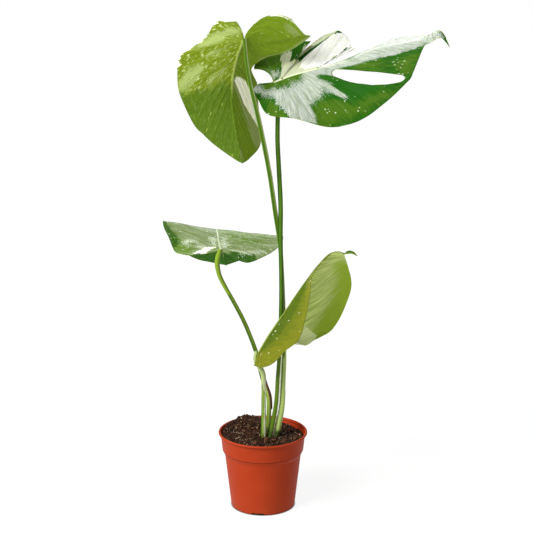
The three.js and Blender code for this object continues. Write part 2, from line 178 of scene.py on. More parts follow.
def smooth_step(value: np.ndarray, low: float, high: float) -> np.ndarray:
    """Rises from 0 at low to 1 at high without a corner."""
    t = np.clip((np.asarray(value, float) - low) / (high - low), 0, 1)
    return t * t * (3 - 2 * t)


def away_from(degrees: float, middle: float) -> float:
    """Gives the signed angle between two directions, from -180 to 180 degrees."""
    return (degrees - middle + 180) % 360 - 180


@dataclass
class Route:
    """A smooth line through points in millimetres, walked by its length."""

    points: np.ndarray
    samples: int = 800

    def at_knot(self, at: np.ndarray) -> np.ndarray:
        """Reads the line at places counted in knots.

        Args:
            at: Places, from 0 at the first knot.

        Returns:
            One point per place.
        """
        t, (a, b, c, d) = rows_round(self.points, at)
        ab, bc, cd = (np.sqrt(np.linalg.norm(w - v, axis=1))[:, None] for v, w in ((a, b), (b, c), (c, d)))
        start = ((b - a) / ab - (c - a) / (ab + bc) + (c - b) / bc) * bc
        end = ((c - b) / bc - (d - b) / (bc + cd) + (d - c) / cd) * bc
        return b + start * t + (3 * (c - b) - 2 * start - end) * t**2 + (2 * (b - c) + start + end) * t**3

    def knots(self, shares: np.ndarray) -> np.ndarray:
        """Turns shares of the line's length into places counted in knots.

        Args:
            shares: Shares from 0 to 1.

        Returns:
            One place per share.
        """
        places = np.linspace(0, len(self.points) - 1, self.samples + 1)
        steps = np.linalg.norm(np.diff(self.at_knot(places), axis=0), axis=1)
        walked = np.concatenate([[0], np.cumsum(steps)])
        return np.interp(np.asarray(shares, float) * walked[-1], walked, places)

    def at(self, shares: np.ndarray) -> np.ndarray:
        """Gives one point for each share of the line's length."""
        return self.at_knot(self.knots(np.atleast_1d(shares)))

    def length(self) -> float:
        """Gives the line's length."""
        points = self.at(np.linspace(0, 1, self.samples))
        return float(np.linalg.norm(np.diff(points, axis=0), axis=1).sum())


def turned(profile: Rows, steps: int) -> bmesh.types.BMesh:
    """Spins a profile about the upright axis, as on a lathe.

    Args:
        profile: Radii and heights in millimetres, from the axis round to the axis.
        steps: Faces round the axis.

    Returns:
        The closed shell, its faces outwards.
    """
    mesh = bmesh.new()
    points = [mesh.verts.new((r * MM, 0, z * MM)) for r, z in profile]
    line = [mesh.edges.new(pair) for pair in zip(points, points[1:])]
    bmesh.ops.spin(
        mesh, geom=points + line, axis=(0, 0, 1), cent=(0, 0, 0), steps=steps, angle=math.tau, use_merge=True,
    )
    bmesh.ops.remove_doubles(mesh, verts=mesh.verts, dist=WELD)
    bmesh.ops.recalc_face_normals(mesh, faces=mesh.faces)
    return mesh


def sheet(mesh: bmesh.types.BMesh, columns: int, rows: int) -> list[list[bmesh.types.BMVert]]:
    """Adds a flat grid that the caller then bends into place.

    Args:
        mesh: The mesh that gets the grid.
        columns: Vertices across.
        rows: Vertices along.

    Returns:
        The vertices by column and row.
    """
    made = bmesh.ops.create_grid(mesh, x_segments=columns - 1, y_segments=rows - 1, size=1)["verts"]
    grid: list[list] = [[None] * rows for _ in range(columns)]
    for v in made:
        i = round((v.co.x + 1) / 2 * (columns - 1))
        j = round((v.co.y + 1) / 2 * (rows - 1))
        grid[i][j] = v
    return grid


def close_holes(mesh: bmesh.types.BMesh) -> None:
    """Closes the open ends of a mesh and turns its faces outwards."""
    bmesh.ops.holes_fill(mesh, edges=[e for e in mesh.edges if e.is_boundary], sides=0)
    bmesh.ops.recalc_face_normals(mesh, faces=mesh.faces)


def place(mesh: bmesh.types.BMesh, name: str, *materials: bpy.types.Material) -> bpy.types.Object:
    """Turns a finished mesh into an object at the origin.

    Args:
        mesh: The mesh, which is freed.
        name: The piece's name.
        *materials: Its materials in the order of its faces' numbers.

    Returns:
        The new object.
    """
    for face in mesh.faces:
        face.smooth = True
    data = bpy.data.meshes.new(name)
    mesh.to_mesh(data)
    mesh.free()
    for material in materials:
        data.materials.append(material)
    piece = bpy.data.objects.new(name, data)
    bpy.context.scene.collection.objects.link(piece)
    return piece


def seat(piece: bpy.types.Object, slot: str, *nodes: str) -> None:
    """Makes a piece part of the plant's one body.

    Args:
        piece: The finished piece.
        slot: The record's material slot for the piece; not used.
        *nodes: The solids that it stands for.
    """
    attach(piece, "root")
    if nodes:
        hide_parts(*nodes)
    LOG.info("%s: %d faces", piece.name, len(piece.data.polygons))


@dataclass(frozen=True)
class MouldedPot:
    """Terracotta-coloured polypropylene, injection moulded: an even dye with a satin skin."""

    lit: str = "#a63a1b"
    deep: str = "#983012"
    dust: str = "#b25f3d"
    dust_share: float = 0.12
    dust_mm: float = 30.0
    painted_shade: str = "#4e160a"
    painted_shade_share: float = 0.75
    painted_shade_lines: Rows = ((101.9, 1.1), (79.4, 1.1), (0.0, 1.4))
    roughness: float = 0.46
    ior: float = 1.45
    gloss: float = 0.06
    cloud_mm: float = 28.0
    grain_mm: float = 1.6
    grain_strength: float = 0.12
    grain_depth: float = 0.2

    def make(self) -> bpy.types.Material:
        """Builds the pot's material.

        Returns:
            The material.
        """
        material, tree = new_material("moulded_polypropylene")
        here = add(tree, "TexCoord").outputs["Object"]
        cloud = add(tree, "TexNoise", {"Vector": here, "Scale": 1 / (self.cloud_mm * MM), "Detail": 3.0})
        grain = add(tree, "TexNoise", {"Vector": here, "Scale": 1 / (self.grain_mm * MM), "Detail": 2.0})
        height = add(tree, "SeparateXYZ", {0: here}).outputs["Z"]
        # Watering leaves a little pale dust low on the wall.
        low = add(tree, "MapRange", {0: height, 1: self.dust_mm * MM, 2: 0.0, 3: 0.0, 4: self.dust_share})
        masks = [(add(tree, "Math", {0: low, 1: cloud}, operation="MULTIPLY"), self.dust)]
        # Painted shade darkens the corners under the lip and under the band, and the bottom edge of the narrow
        # foot.
        for level, reach in self.painted_shade_lines:
            away = add(tree, "Math", {0: height, 1: -level * MM}, operation="ADD")
            away = add(tree, "Math", {0: away}, operation="ABSOLUTE")
            ends = {0: away, 1: reach * MM, 2: 0.0, 3: 0.0, 4: self.painted_shade_share}
            masks.append((add(tree, "MapRange", ends, interpolation_type="SMOOTHSTEP"), self.painted_shade))
        tone = linear(self.deep)
        for mask, tint in [(cloud, self.lit), *masks]:
            tone = add(tree, "Mix", {0: mask, 6: tone, 7: linear(tint)}, data_type="RGBA").outputs[2]
        spread = {0: cloud, 1: 0.3, 2: 0.7, 3: self.roughness - 0.05, 4: self.roughness + 0.1}
        rough = add(tree, "MapRange", spread)
        end_material(
            tree, {"Base Color": tone, "Roughness": rough, "IOR": self.ior, "Specular IOR Level": self.gloss},
            (grain, self.grain_strength, self.grain_depth),
        )
        return material


@dataclass(frozen=True)
class DampSoil:
    """Peat and coir potting mix, damp: dark brown crumbs with ginger and pale fibres."""

    name: str
    dark: str
    light: str
    fleck: str
    ginger: str = "#63402a"
    crumb_mm: float = 2.4
    patch_mm: float = 9.0
    fleck_mm: float = 2.0
    fleck_above: float = 0.86
    roughness: float = 0.9
    ior: float = 1.2
    relief: float = 0.7
    relief_depth: float = 1.0
    loose: bool = False

    def make(self) -> bpy.types.Material:
        """Builds the soil's material; a loose bit has a tone of its own, and the bed has flecks.

        Returns:
            The material.
        """
        material, tree = new_material(self.name)
        here = add(tree, "TexCoord").outputs["Object"]
        crumb = add(tree, "TexNoise", {"Vector": here, "Scale": 1 / (self.crumb_mm * MM), "Detail": 5.0})
        patch = add(tree, "TexNoise", {"Vector": here, "Scale": 1 / (self.patch_mm * MM), "Detail": 2.0})
        masks = [(add(tree, "MapRange", {0: crumb, 1: 0.36, 2: 0.66}), self.light)]
        if self.loose:
            own = add(tree, "Attribute", attribute_name="tone").outputs["Fac"]
            for low, high, tint in ((0.0, 0.6, self.ginger), (0.65, 1.0, self.fleck)):
                masks.append((add(tree, "MapRange", {0: own, 1: low, 2: high}), tint))
        else:
            cell = add(tree, "TexVoronoi", {"Vector": here, "Scale": 1 / (self.fleck_mm * MM)})
            pick = add(tree, "SeparateColor", {0: cell.outputs["Color"]})
            chosen = add(tree, "Math", {0: pick.outputs[0], 1: self.fleck_above}, operation="GREATER_THAN")
            near = add(tree, "MapRange", {0: cell.outputs["Distance"], 1: 0.45, 2: 0.3, 3: 0.0, 4: 0.8})
            masks.append((add(tree, "Math", {0: chosen, 1: near}, operation="MULTIPLY"), self.fleck))
        colour = linear(self.dark)
        for mask, tint in masks:
            colour = add(tree, "Mix", {0: mask, 6: colour, 7: linear(tint)}, data_type="RGBA").outputs[2]
        both = add(tree, "Math", {0: crumb, 1: patch}, operation="ADD")
        end_material(
            tree, {"Base Color": colour, "Roughness": self.roughness, "IOR": self.ior},
            (both, self.relief, self.relief_depth),
        )
        return material


@dataclass(frozen=True)
class StalkSkin:
    """Smooth living stalk: a waxy skin over green tissue, with pale and dark stripes along it."""

    name: str
    base: str
    streak: str
    pale: str
    wan: str
    deep: str
    foot: str
    roughness: float = 0.42
    ior: float = 1.42
    gloss: float = 0.12
    fibre_mm: tuple[float, float] = (1.1, 22.0)
    patch_mm: tuple[float, float] = (6.0, 30.0)
    ragged: float = 0.9
    relief: float = 0.25
    relief_depth: float = 0.3

    def make(self) -> bpy.types.Material:
        """Builds the stalk's material from its stripe attributes and its own map.

        Returns:
            The material.
        """
        material, tree = new_material(self.name)
        skin = add(tree, "UVMap", uv_map=VEIN_MAP)
        noises = []
        for (across, along), detail in ((self.fibre_mm, 3.0), (self.patch_mm, 2.0)):
            stretch = (VEIN_MAP_MM / across, VEIN_MAP_MM / along, 1)
            at = add(tree, "VectorMath", {0: skin, 1: stretch}, operation="MULTIPLY")
            noises.append(add(tree, "TexNoise", {"Vector": at, "Scale": 1.0, "Detail": detail}))
        fibre, patch = noises
        masks = [(add(tree, "MapRange", {0: fibre, 1: 0.35, 2: 0.68}), self.streak)]
        ends = {Band.WAN: (0.1, 0.9), Band.FOOT: (0.1, 0.9), Band.DEEP: (0.35, 0.65), Band.PALE: (0.4, 0.6)}
        for band in Band:
            own = add(tree, "Attribute", attribute_name=band.value).outputs["Fac"]
            # The fibres shift a stripe's edge to and fro.
            shift = add(tree, "Math", {0: fibre, 1: self.ragged, 2: -self.ragged / 2}, operation="MULTIPLY_ADD")
            wavy = add(tree, "Math", {0: own, 1: shift}, operation="ADD")
            low, high = ends[band]
            mask = add(tree, "MapRange", {0: wavy, 1: low, 2: high}, interpolation_type="SMOOTHSTEP")
            masks.append((mask, getattr(self, band.value)))
        colour = linear(self.base)
        for mask, tint in masks:
            colour = add(tree, "Mix", {0: mask, 6: colour, 7: linear(tint)}, data_type="RGBA").outputs[2]
        spread = {0: patch, 1: 0.3, 2: 0.7, 3: self.roughness - 0.06, 4: self.roughness + 0.12}
        rough = add(tree, "MapRange", spread)
        end_material(
            tree, {"Base Color": colour, "Roughness": rough, "IOR": self.ior, "Specular IOR Level": self.gloss},
            (fibre, self.relief, self.relief_depth),
        )
        return material


@dataclass(frozen=True)
class WitheredSheath:
    """Dead leaf tissue, dried on the plant: papery, matte and streaked along its fibres."""

    dark: str = "#4a2b1d"
    light: str = "#7d5233"
    fibre_mm: float = 1.2
    fibre_length: float = 14.0
    roughness: float = 0.8
    relief: float = 0.5
    relief_depth: float = 0.4

    def make(self) -> bpy.types.Material:
        """Builds the dry sheath's material.

        Returns:
            The material.
        """
        material, tree = new_material("withered_sheath")
        here = add(tree, "TexCoord").outputs["Object"]
        wide, tall = 1 / (self.fibre_mm * MM), 1 / (self.fibre_length * MM)
        drawn = add(tree, "VectorMath", {0: here, 1: (wide, wide, tall)}, operation="MULTIPLY")
        fibre = add(tree, "TexNoise", {"Vector": drawn, "Scale": 1.0, "Detail": 3.0})
        tone = add(tree, "MapRange", {0: fibre, 1: 0.35, 2: 0.65})
        ends = {0: tone, 6: linear(self.dark), 7: linear(self.light)}
        colour = add(tree, "Mix", ends, data_type="RGBA").outputs[2]
        end_material(
            tree, {"Base Color": colour, "Roughness": self.roughness}, (fibre, self.relief, self.relief_depth)
        )
        return material


@dataclass(frozen=True)
class Edge:
    """How a colour's patches end: mm of blending, and the mm that streaks, grains and drift shift it by."""

    soft: float
    streak: float
    grain: float
    drift: float


EDGES = {
    Mark.DARK: Edge(2.0, 4.0, 2.0, 3.0),
    Mark.LIGHT: Edge(9.0, 9.0, 4.0, 6.0),
    Mark.SAGE: Edge(0.8, 3.5, 1.2, 1.5),
    Mark.SILVER: Edge(0.8, 5.0, 6.5, 2.0),
    Mark.CREAM: Edge(0.5, 3.5, 1.6, 1.5),
}


@dataclass(frozen=True)
class BladeSkin:
    """One face of a marbled leaf: chlorophyll green broken by silver and cream sectors along the veins."""

    name: str
    base: str
    base_streak: str
    dark: str
    light: str
    sage: str
    silver: str
    silver_streak: str
    cream: str
    cream_streak: str
    rib: str
    speck: str
    vein_tint: str
    vein_share: float = 0.2
    fine_share: float = 0.1
    speck_share: float = 0.3
    speck_mm: tuple[float, float] = (7.0, 8.0)
    fleck_from: float = 0.7
    grain: float = 1.0
    roughness: float = 0.36
    ior: float = 1.42
    wax: float = 0.12
    # Width, length along the veins and detail of the streaks, the dashes, the grains and the drift. They are
    # drawn a little coarser than the real ones, which are hair-fine.
    textures: Rows = ((2.6, 24.0, 3.0), (1.4, 6.5, 2.0), (1.1, 1.5, 1.0), (15.0, 19.0, 2.0))
    lateral_mm: float = 13.0
    fine_mm: float = 3.1
    sway: float = 0.006
    relief: float = 0.45
    relief_depth: float = 0.4
    # Light passes a little way through the flesh, the blue least of all.
    flesh_share: float = 0.8
    flesh_radius: tuple[float, float, float] = (1.0, 1.0, 0.5)
    flesh_mm: float = 1.2

    def make(self) -> bpy.types.Material:
        """Builds one face's material from the blade's vein map and its patch attributes.

        Returns:
            The material.
        """
        material, tree = new_material(self.name)
        veins = add(tree, "UVMap", uv_map=VEIN_MAP)
        noises = []
        for across, along, detail in self.textures:
            stretch = (VEIN_MAP_MM / across, VEIN_MAP_MM / along, 1)
            at = add(tree, "VectorMath", {0: veins, 1: stretch}, operation="MULTIPLY")
            raw = add(tree, "TexNoise", {"Vector": at, "Scale": 1.0, "Detail": detail, "Roughness": 0.55})
            # A noise keeps to the middle of its range; stretched, it runs from about -1 to 1.
            noises.append(add(tree, "Math", {0: raw, 1: 4.5, 2: -2.25}, operation="MULTIPLY_ADD"))
        streak, fine, grain, drift = noises
        colour = self.marbled(tree, streak, fine, grain, drift)
        speck = self.specks(tree, veins, grain)
        colour = add(tree, "Mix", {0: speck, 6: colour, 7: linear(self.speck)}, data_type="RGBA").outputs[2]
        lateral, hairline = self.vein_lines(tree, veins, drift)
        rib = add(tree, "Attribute", attribute_name="rib").outputs["Fac"]
        rib = add(tree, "MapRange", {0: rib, 1: -0.5, 2: 0.4}, interpolation_type="SMOOTHSTEP")
        for mask, tint in ((lateral, self.vein_tint), (hairline, self.vein_tint), (rib, self.rib)):
            colour = add(tree, "Mix", {0: mask, 6: colour, 7: linear(tint)}, data_type="RGBA").outputs[2]
        relief = add(tree, "Math", {0: lateral, 1: -1.0, 2: hairline}, operation="MULTIPLY_ADD")
        relief = add(tree, "Math", {0: streak, 1: 0.09, 2: relief}, operation="MULTIPLY_ADD")
        spread = {0: drift, 1: -1.0, 2: 1.0, 3: self.roughness - 0.05, 4: self.roughness + 0.08}
        rough = add(tree, "MapRange", spread)
        end_material(
            tree,
            {
                "Base Color": colour, "Roughness": rough, "IOR": self.ior, "Specular IOR Level": self.wax,
                "Subsurface Weight": self.flesh_share, "Subsurface Radius": self.flesh_radius,
                "Subsurface Scale": self.flesh_mm * MM,
            },
            (relief, self.relief, self.relief_depth),
        )
        return material

    def marbled(self, tree: Tree, streak: Node, fine: Node, grain: Node, drift: Node) -> bpy.types.NodeSocket:
        """Lays the colours of the marbling over the green, each within its own frayed patches; some light and
        dark patches are painted light and painted shade.

        Args:
            tree: The material's node tree.
            streak: Long streaks along the veins.
            fine: Short streaks along the veins.
            grain: Fine grain.
            drift: Broad, slow change.

        Returns:
            The colour.
        """
        shade = add(tree, "MapRange", {0: streak, 1: -0.75, 2: 0.85})
        ends = {0: shade, 6: linear(self.base), 7: linear(self.base_streak)}
        colour = add(tree, "Mix", ends, data_type="RGBA").outputs[2]
        for mark, edge in EDGES.items():
            level = add(tree, "Attribute", attribute_name=mark.value).outputs["Fac"]
            for part, size in ((streak, edge.streak), (grain, edge.grain * self.grain), (drift, edge.drift)):
                level = add(tree, "Math", {0: part, 1: size, 2: level}, operation="MULTIPLY_ADD")
            blend = {0: level, 1: -edge.soft, 2: edge.soft}
            mask = add(tree, "MapRange", blend, interpolation_type="SMOOTHSTEP")
            # Silver and cream have a second tone in their streaks, the greens have one.
            tint = getattr(self, mark.value)
            other = getattr(self, mark.value + "_streak", tint)
            blotch = add(tree, "Math", {0: fine, 1: 0.3, 2: shade}, operation="MULTIPLY_ADD", use_clamp=True)
            tone = add(tree, "Mix", {0: blotch, 6: linear(tint), 7: linear(other)}, data_type="RGBA").outputs[2]
            colour = add(tree, "Mix", {0: mask, 6: colour, 7: tone}, data_type="RGBA").outputs[2]
            if mark is Mark.LIGHT:
                # Short pale dashes along the veins, most of them where the leaf is light.
                dash = add(tree, "MapRange", {0: fine, 1: self.fleck_from, 2: self.fleck_from + 0.35})
                where = add(tree, "Math", {0: mask, 1: 0.75, 2: 0.2}, operation="MULTIPLY_ADD")
                dash = add(tree, "Math", {0: dash, 1: where}, operation="MULTIPLY")
                pale = {0: dash, 6: colour, 7: linear(self.sage)}
                colour = add(tree, "Mix", pale, data_type="RGBA").outputs[2]
        return colour

    def specks(self, tree: Tree, veins: Node, grain: Node) -> Node:
        """Masks small pale specks, each in a cell of its own.

        Args:
            tree: The material's node tree.
            veins: The vein map.
            grain: Fine grain, which frays the specks.

        Returns:
            The mask.
        """
        across, along = self.speck_mm
        stretch = (VEIN_MAP_MM / across, VEIN_MAP_MM / along, 1)
        at = add(tree, "VectorMath", {0: veins, 1: stretch}, operation="MULTIPLY")
        cell = add(tree, "TexVoronoi", {"Vector": at, "Scale": 1.0})
        pick = add(tree, "SeparateColor", {0: cell.outputs["Color"]})
        reach = add(tree, "Math", {0: pick.outputs[1], 1: 0.1, 2: 0.09}, operation="MULTIPLY_ADD")
        reach = add(tree, "Math", {0: grain, 1: 0.03, 2: reach}, operation="MULTIPLY_ADD")
        inside = add(tree, "Math", {0: reach, 1: cell.outputs["Distance"]}, operation="SUBTRACT")
        near = add(tree, "MapRange", {0: inside, 1: -0.02, 2: 0.03})
        chosen = add(tree, "Math", {0: pick.outputs[0], 1: self.speck_share}, operation="LESS_THAN")
        return add(tree, "Math", {0: near, 1: chosen}, operation="MULTIPLY")

    def vein_lines(self, tree: Tree, veins: Node, drift: Node) -> list[Node]:
        """Masks the lines of the side veins and of the hair-fine veins between them.

        Args:
            tree: The material's node tree.
            veins: The vein map.
            drift: Broad, slow change, which sways the lines.

        Returns:
            The two masks.
        """
        across = add(tree, "SeparateXYZ", {0: veins}).outputs["X"]
        swayed = add(tree, "Math", {0: drift, 1: self.sway, 2: across}, operation="MULTIPLY_ADD")
        kinds = ((self.lateral_mm, 1.1, self.vein_share), (self.fine_mm, 0.7, self.fine_share))
        lines = []
        for spacing, width, share in kinds:
            away = add(tree, "Math", {0: swayed, 1: spacing / 2 / VEIN_MAP_MM}, operation="PINGPONG")
            ends = {0: away, 1: width / VEIN_MAP_MM, 2: 0.0, 3: 0.0, 4: share}
            lines.append(add(tree, "MapRange", ends, interpolation_type="SMOOTHSTEP"))
        return lines


@dataclass
class Pot:
    """A round 12 cm nursery pot with a stepped band under its rolled lip and a notched foot."""

    turns: int = 180
    notches: int = 4
    first_notch: float = -99.0
    notch_size: tuple[float, float, float] = (8.0, 17.0, 5.6)
    foot_radius: float = 43.3
    drain_radius: float = 4.0
    drain_circle: float = 32.0
    drain_depth: float = 12.0
    edge: float = 0.35
    edge_from: float = 9.0
    crisp_from: float = 40.0
    profile: Rows = (
        (0, 0), (22, 0), (23.5, 3), (41.5, 3), (41.1, 0), (42.4, 0), (43.3, 1.4), (51.5, 73.5), (54.8, 80),
        (57.0, 101.2), (59.3, 102.3), (60.0, 103.2), (59.8, 104.3), (58.9, 105), (57.6, 105), (55.2, 98.5),
        (53.4, 80.6), (50.1, 74.1), (41.9, 4.6), (22.5, 4.6), (21, 1.6), (0, 1.6),
    )

    def shell(self) -> bmesh.types.BMesh:
        """Spins the wall and rounds its corners.

        Returns:
            The pot without its openings.
        """
        mesh = turned(self.profile, self.turns)
        corners = [
            e for e in mesh.edges
            if len(e.link_faces) == 2 and e.calc_face_angle() > math.radians(self.edge_from)
            and abs(e.verts[0].co.z - e.verts[1].co.z) < WELD
            and abs(e.verts[0].co.xy.length - e.verts[1].co.xy.length) < 10 * WELD
        ]
        bmesh.ops.bevel(
            mesh, geom=corners, offset=self.edge * MM, offset_type="OFFSET", segments=2, profile=0.5,
            affect="EDGES", material=-1, clamp_overlap=True,
        )
        return mesh

    def cutter(self) -> bpy.types.Object:
        """Makes the blocks and pegs that open the foot's notches and the drain holes.

        Returns:
            The cutting body.
        """
        mesh = bmesh.new()
        size = Matrix.Diagonal((*[side * MM for side in self.notch_size], 1))
        for i in range(self.notches):
            turn = Matrix.Rotation(math.radians(self.first_notch) + i * math.tau / self.notches, 4, "Z")
            at = Matrix.Translation((self.foot_radius * MM, 0, 0))
            bmesh.ops.create_cube(mesh, size=1, matrix=turn @ at @ size)
            turn = turn @ Matrix.Rotation(math.pi / self.notches, 4, "Z")
            at = Matrix.Translation((self.drain_circle * MM, 0, self.drain_depth / 4 * MM))
            radius = self.drain_radius * MM
            bmesh.ops.create_cone(
                mesh, cap_ends=True, segments=28, radius1=radius, radius2=radius, depth=self.drain_depth * MM,
                matrix=turn @ at,
            )
        return place(mesh, "pot_cutter")

    def build(self) -> None:
        """Builds the pot and seats it in place of its solid."""
        pot = place(self.shell(), "nursery_pot", MouldedPot().make())
        tool = self.cutter()
        cut = pot.modifiers.new("openings", "BOOLEAN")
        cut.operation, cut.solver, cut.object = "DIFFERENCE", "EXACT", tool
        bpy.context.view_layer.update()
        whole = bpy.data.meshes.new_from_object(pot.evaluated_get(bpy.context.evaluated_depsgraph_get()))
        pot.modifiers.clear()
        pot.data = whole
        bpy.data.objects.remove(tool)
        # The cut faces stay crisp, the turned wall stays smooth.
        whole.set_sharp_from_angle(angle=math.radians(self.crisp_from))
        seat(pot, "pot", "pot")


@dataclass
class Soil:
    """The pot's filling: a lumpy bed with loose crumbs, coir fibres and pale bits on it."""

    level: float = 102.0
    tilt: float = 0.045
    # Height, place and spread of the heap, the hollow and the mound round the stalks.
    swells: Rows = ((8, -22, 38, 420), (-3.5, 34, 28, 420), (1.5, 8, -13, 300))
    ripple: float = 0.8
    lump: float = 1.36
    lump_mm: float = 6.0
    edge: float = 54.5
    rim_drop: float = 0.8
    turns: int = 220
    rings: int = 56
    crumbs: int = 2000
    crumb_size: tuple[float, float, float] = (0.35, 0.55, 2.6)
    fibres: int = 105
    fibre_length: tuple[float, float] = (3, 12)
    fibre_radius: tuple[float, float] = (0.12, 0.26)
    fibre_knots: int = 6
    fibre_sides: int = 5
    seed: int = 11
    walls: Rows = ((0, 1.9), (20.7, 1.9), (22.2, 4.9), (41.5, 4.9), (49.7, 73.9), (52.9, 80))

    def height(self, x: float, y: float) -> float:
        """Gives the bed's height: as in the solid, with finer lumps.

        Args:
            x: Place to the right in millimetres.
            y: Place to the back in millimetres.

        Returns:
            The height in millimetres.
        """
        z = self.level - self.tilt * x
        for rise, at_x, at_y, spread in self.swells:
            z += rise * math.exp(-((x - at_x) ** 2 + (y - at_y) ** 2) / spread)
        z += self.ripple * math.sin(0.71 * x + 0.33 * y) * math.cos(0.58 * y - 0.21 * x)
        return z + self.lump * noise.fractal(Vector((x / self.lump_mm, y / self.lump_mm, 3.7)), 0.7, 2.1, 5)

    def bed(self) -> bpy.types.Object:
        """Builds the closed body of soil.

        Returns:
            The bed.
        """
        top = tuple((self.edge * (1 - i / self.rings), self.level) for i in range(self.rings + 1))
        mesh = turned(self.walls + top, self.turns)
        for v in mesh.verts:
            if v.co.z > (self.level - 0.01) * MM:
                sunk = self.rim_drop if v.co.xy.length > (self.edge - 0.3) * MM else 0
                v.co.z = (self.height(v.co.x / MM, v.co.y / MM) - sunk) * MM
        finish = DampSoil("damp_peat", dark="#190f09", light="#35221a", fleck="#6a4226")
        return place(mesh, "soil_bed", finish.make())

    def spot(self, dice: random.Random, spread: float) -> Vector:
        """Picks a point of the bed.

        Args:
            dice: The source of random numbers.
            spread: The greatest distance from the axis in millimetres.

        Returns:
            The point in millimetres.
        """
        reach, turn = spread * math.sqrt(dice.random()), dice.uniform(0, math.tau)
        x, y = reach * math.cos(turn), reach * math.sin(turn)
        return Vector((x, y, self.height(x, y)))

    def scatter(self, dice: random.Random) -> bpy.types.Object:
        """Scatters crumbs of bark, peat and perlite over the bed.

        Args:
            dice: The source of random numbers.

        Returns:
            The crumbs.
        """
        mesh = bmesh.new()
        tone = mesh.verts.layers.float.new("tone")
        least, usual, most = self.crumb_size
        for _ in range(self.crumbs):
            size = min(most, least + dice.expovariate(1 / usual))
            shape = Matrix.Diagonal((size, size * dice.uniform(0.6, 1), size * dice.uniform(0.4, 0.8), 1))
            turn = Euler([dice.uniform(0, math.tau) for _ in range(3)]).to_matrix().to_4x4()
            at = self.spot(dice, self.edge - 1.5)
            at.z += 0.25 * size
            # Only small crumbs are pale: perlite dust and bits of fibre.
            share = dice.random()
            pale = dice.uniform(0.7, 1.0) if share > 0.9 and size < 1.6 else 0.6 * dice.random() ** 3
            move = Matrix.Scale(MM, 4) @ Matrix.Translation(at) @ turn @ shape
            for v in bmesh.ops.create_icosphere(mesh, subdivisions=1, radius=1, matrix=move)["verts"]:
                v.co += Vector([dice.uniform(-0.22, 0.22) * size * MM for _ in range(3)])
                v[tone] = pale
        finish = DampSoil("loose_crumbs", dark="#130b06", light="#3a2316", fleck="#bda37c", loose=True)
        return place(mesh, "soil_crumbs", finish.make())

    def strands(self, dice: random.Random) -> bpy.types.Object:
        """Lays short coir fibres on the bed, each a thin bent tube.

        Args:
            dice: The source of random numbers.

        Returns:
            The fibres.
        """
        mesh = bmesh.new()
        tone = mesh.verts.layers.float.new("tone")
        for _ in range(self.fibres):
            start = self.spot(dice, self.edge - 4)
            heading, length = dice.uniform(0, math.tau), dice.uniform(*self.fibre_length)
            bend, radius = dice.uniform(-1.4, 1.4), dice.uniform(*self.fibre_radius)
            pale = dice.choice((0.1, 0.3, 0.5, 0.6, 0.75, 0.95))
            path = []
            for i in range(self.fibre_knots + 1):
                way = heading + bend * i / self.fibre_knots
                x = start.x + length * i / self.fibre_knots * math.cos(way)
                y = start.y + length * i / self.fibre_knots * math.sin(way)
                reach = math.hypot(x, y)
                if reach > self.edge - 2:
                    x, y = x * (self.edge - 2) / reach, y * (self.edge - 2) / reach
                arch = 0.5 + 0.7 * math.sin(math.pi * i / self.fibre_knots)
                path.append(Vector((x, y, self.height(x, y) + arch)))
            for i, ring in enumerate(sheet(mesh, self.fibre_sides + 1, self.fibre_knots + 1)):
                turn = math.tau * i / self.fibre_sides
                side = Vector((math.sin(heading), -math.cos(heading), 0)) * math.cos(turn)
                for centre, v in zip(path, ring):
                    v.co = (centre + (side + Vector((0, 0, math.sin(turn)))) * radius) * MM
                    v[tone] = pale
        bmesh.ops.remove_doubles(mesh, verts=mesh.verts, dist=2 * WELD)
        close_holes(mesh)
        finish = DampSoil("coir_fibre", dark="#4a2c18", light="#6b4326", fleck="#d8c9a8", loose=True)
        return place(mesh, "soil_fibres", finish.make())

    def build(self) -> None:
        """Builds the bed and what lies on it."""
        dice = random.Random(self.seed)
        seat(self.bed(), "soil", "soil")
        seat(self.scatter(dice), "soil")
        seat(self.strands(dice), "soil")


@dataclass(frozen=True)
class Stripe:
    """A band of another colour down a stalk, in degrees round it (0 right, 270 front) and mm of height."""

    band: Band
    low: float
    high: float
    middle: float
    half_width: float
    lean: float = 0.0
    soft_degrees: float = 9.0
    soft_mm: float = 6.0

    def share(self, degrees: float, z: float) -> float:
        """Says how much of the stripe's colour a point has.

        Args:
            degrees: The point's angle round the stalk.
            z: Its height in millimetres.

        Returns:
            A share from 0 to 1.
        """
        middle = self.middle + self.lean * (z - self.low) / (self.high - self.low)
        inside = self.half_width - abs(away_from(degrees, middle))
        wide = float(smooth_step(inside, -self.soft_degrees, self.soft_degrees))
        up = float(smooth_step(z, self.low - self.soft_mm, self.low + self.soft_mm))
        down = float(smooth_step(-z, -self.high - self.soft_mm, -self.high + self.soft_mm))
        return wide * (up * down)


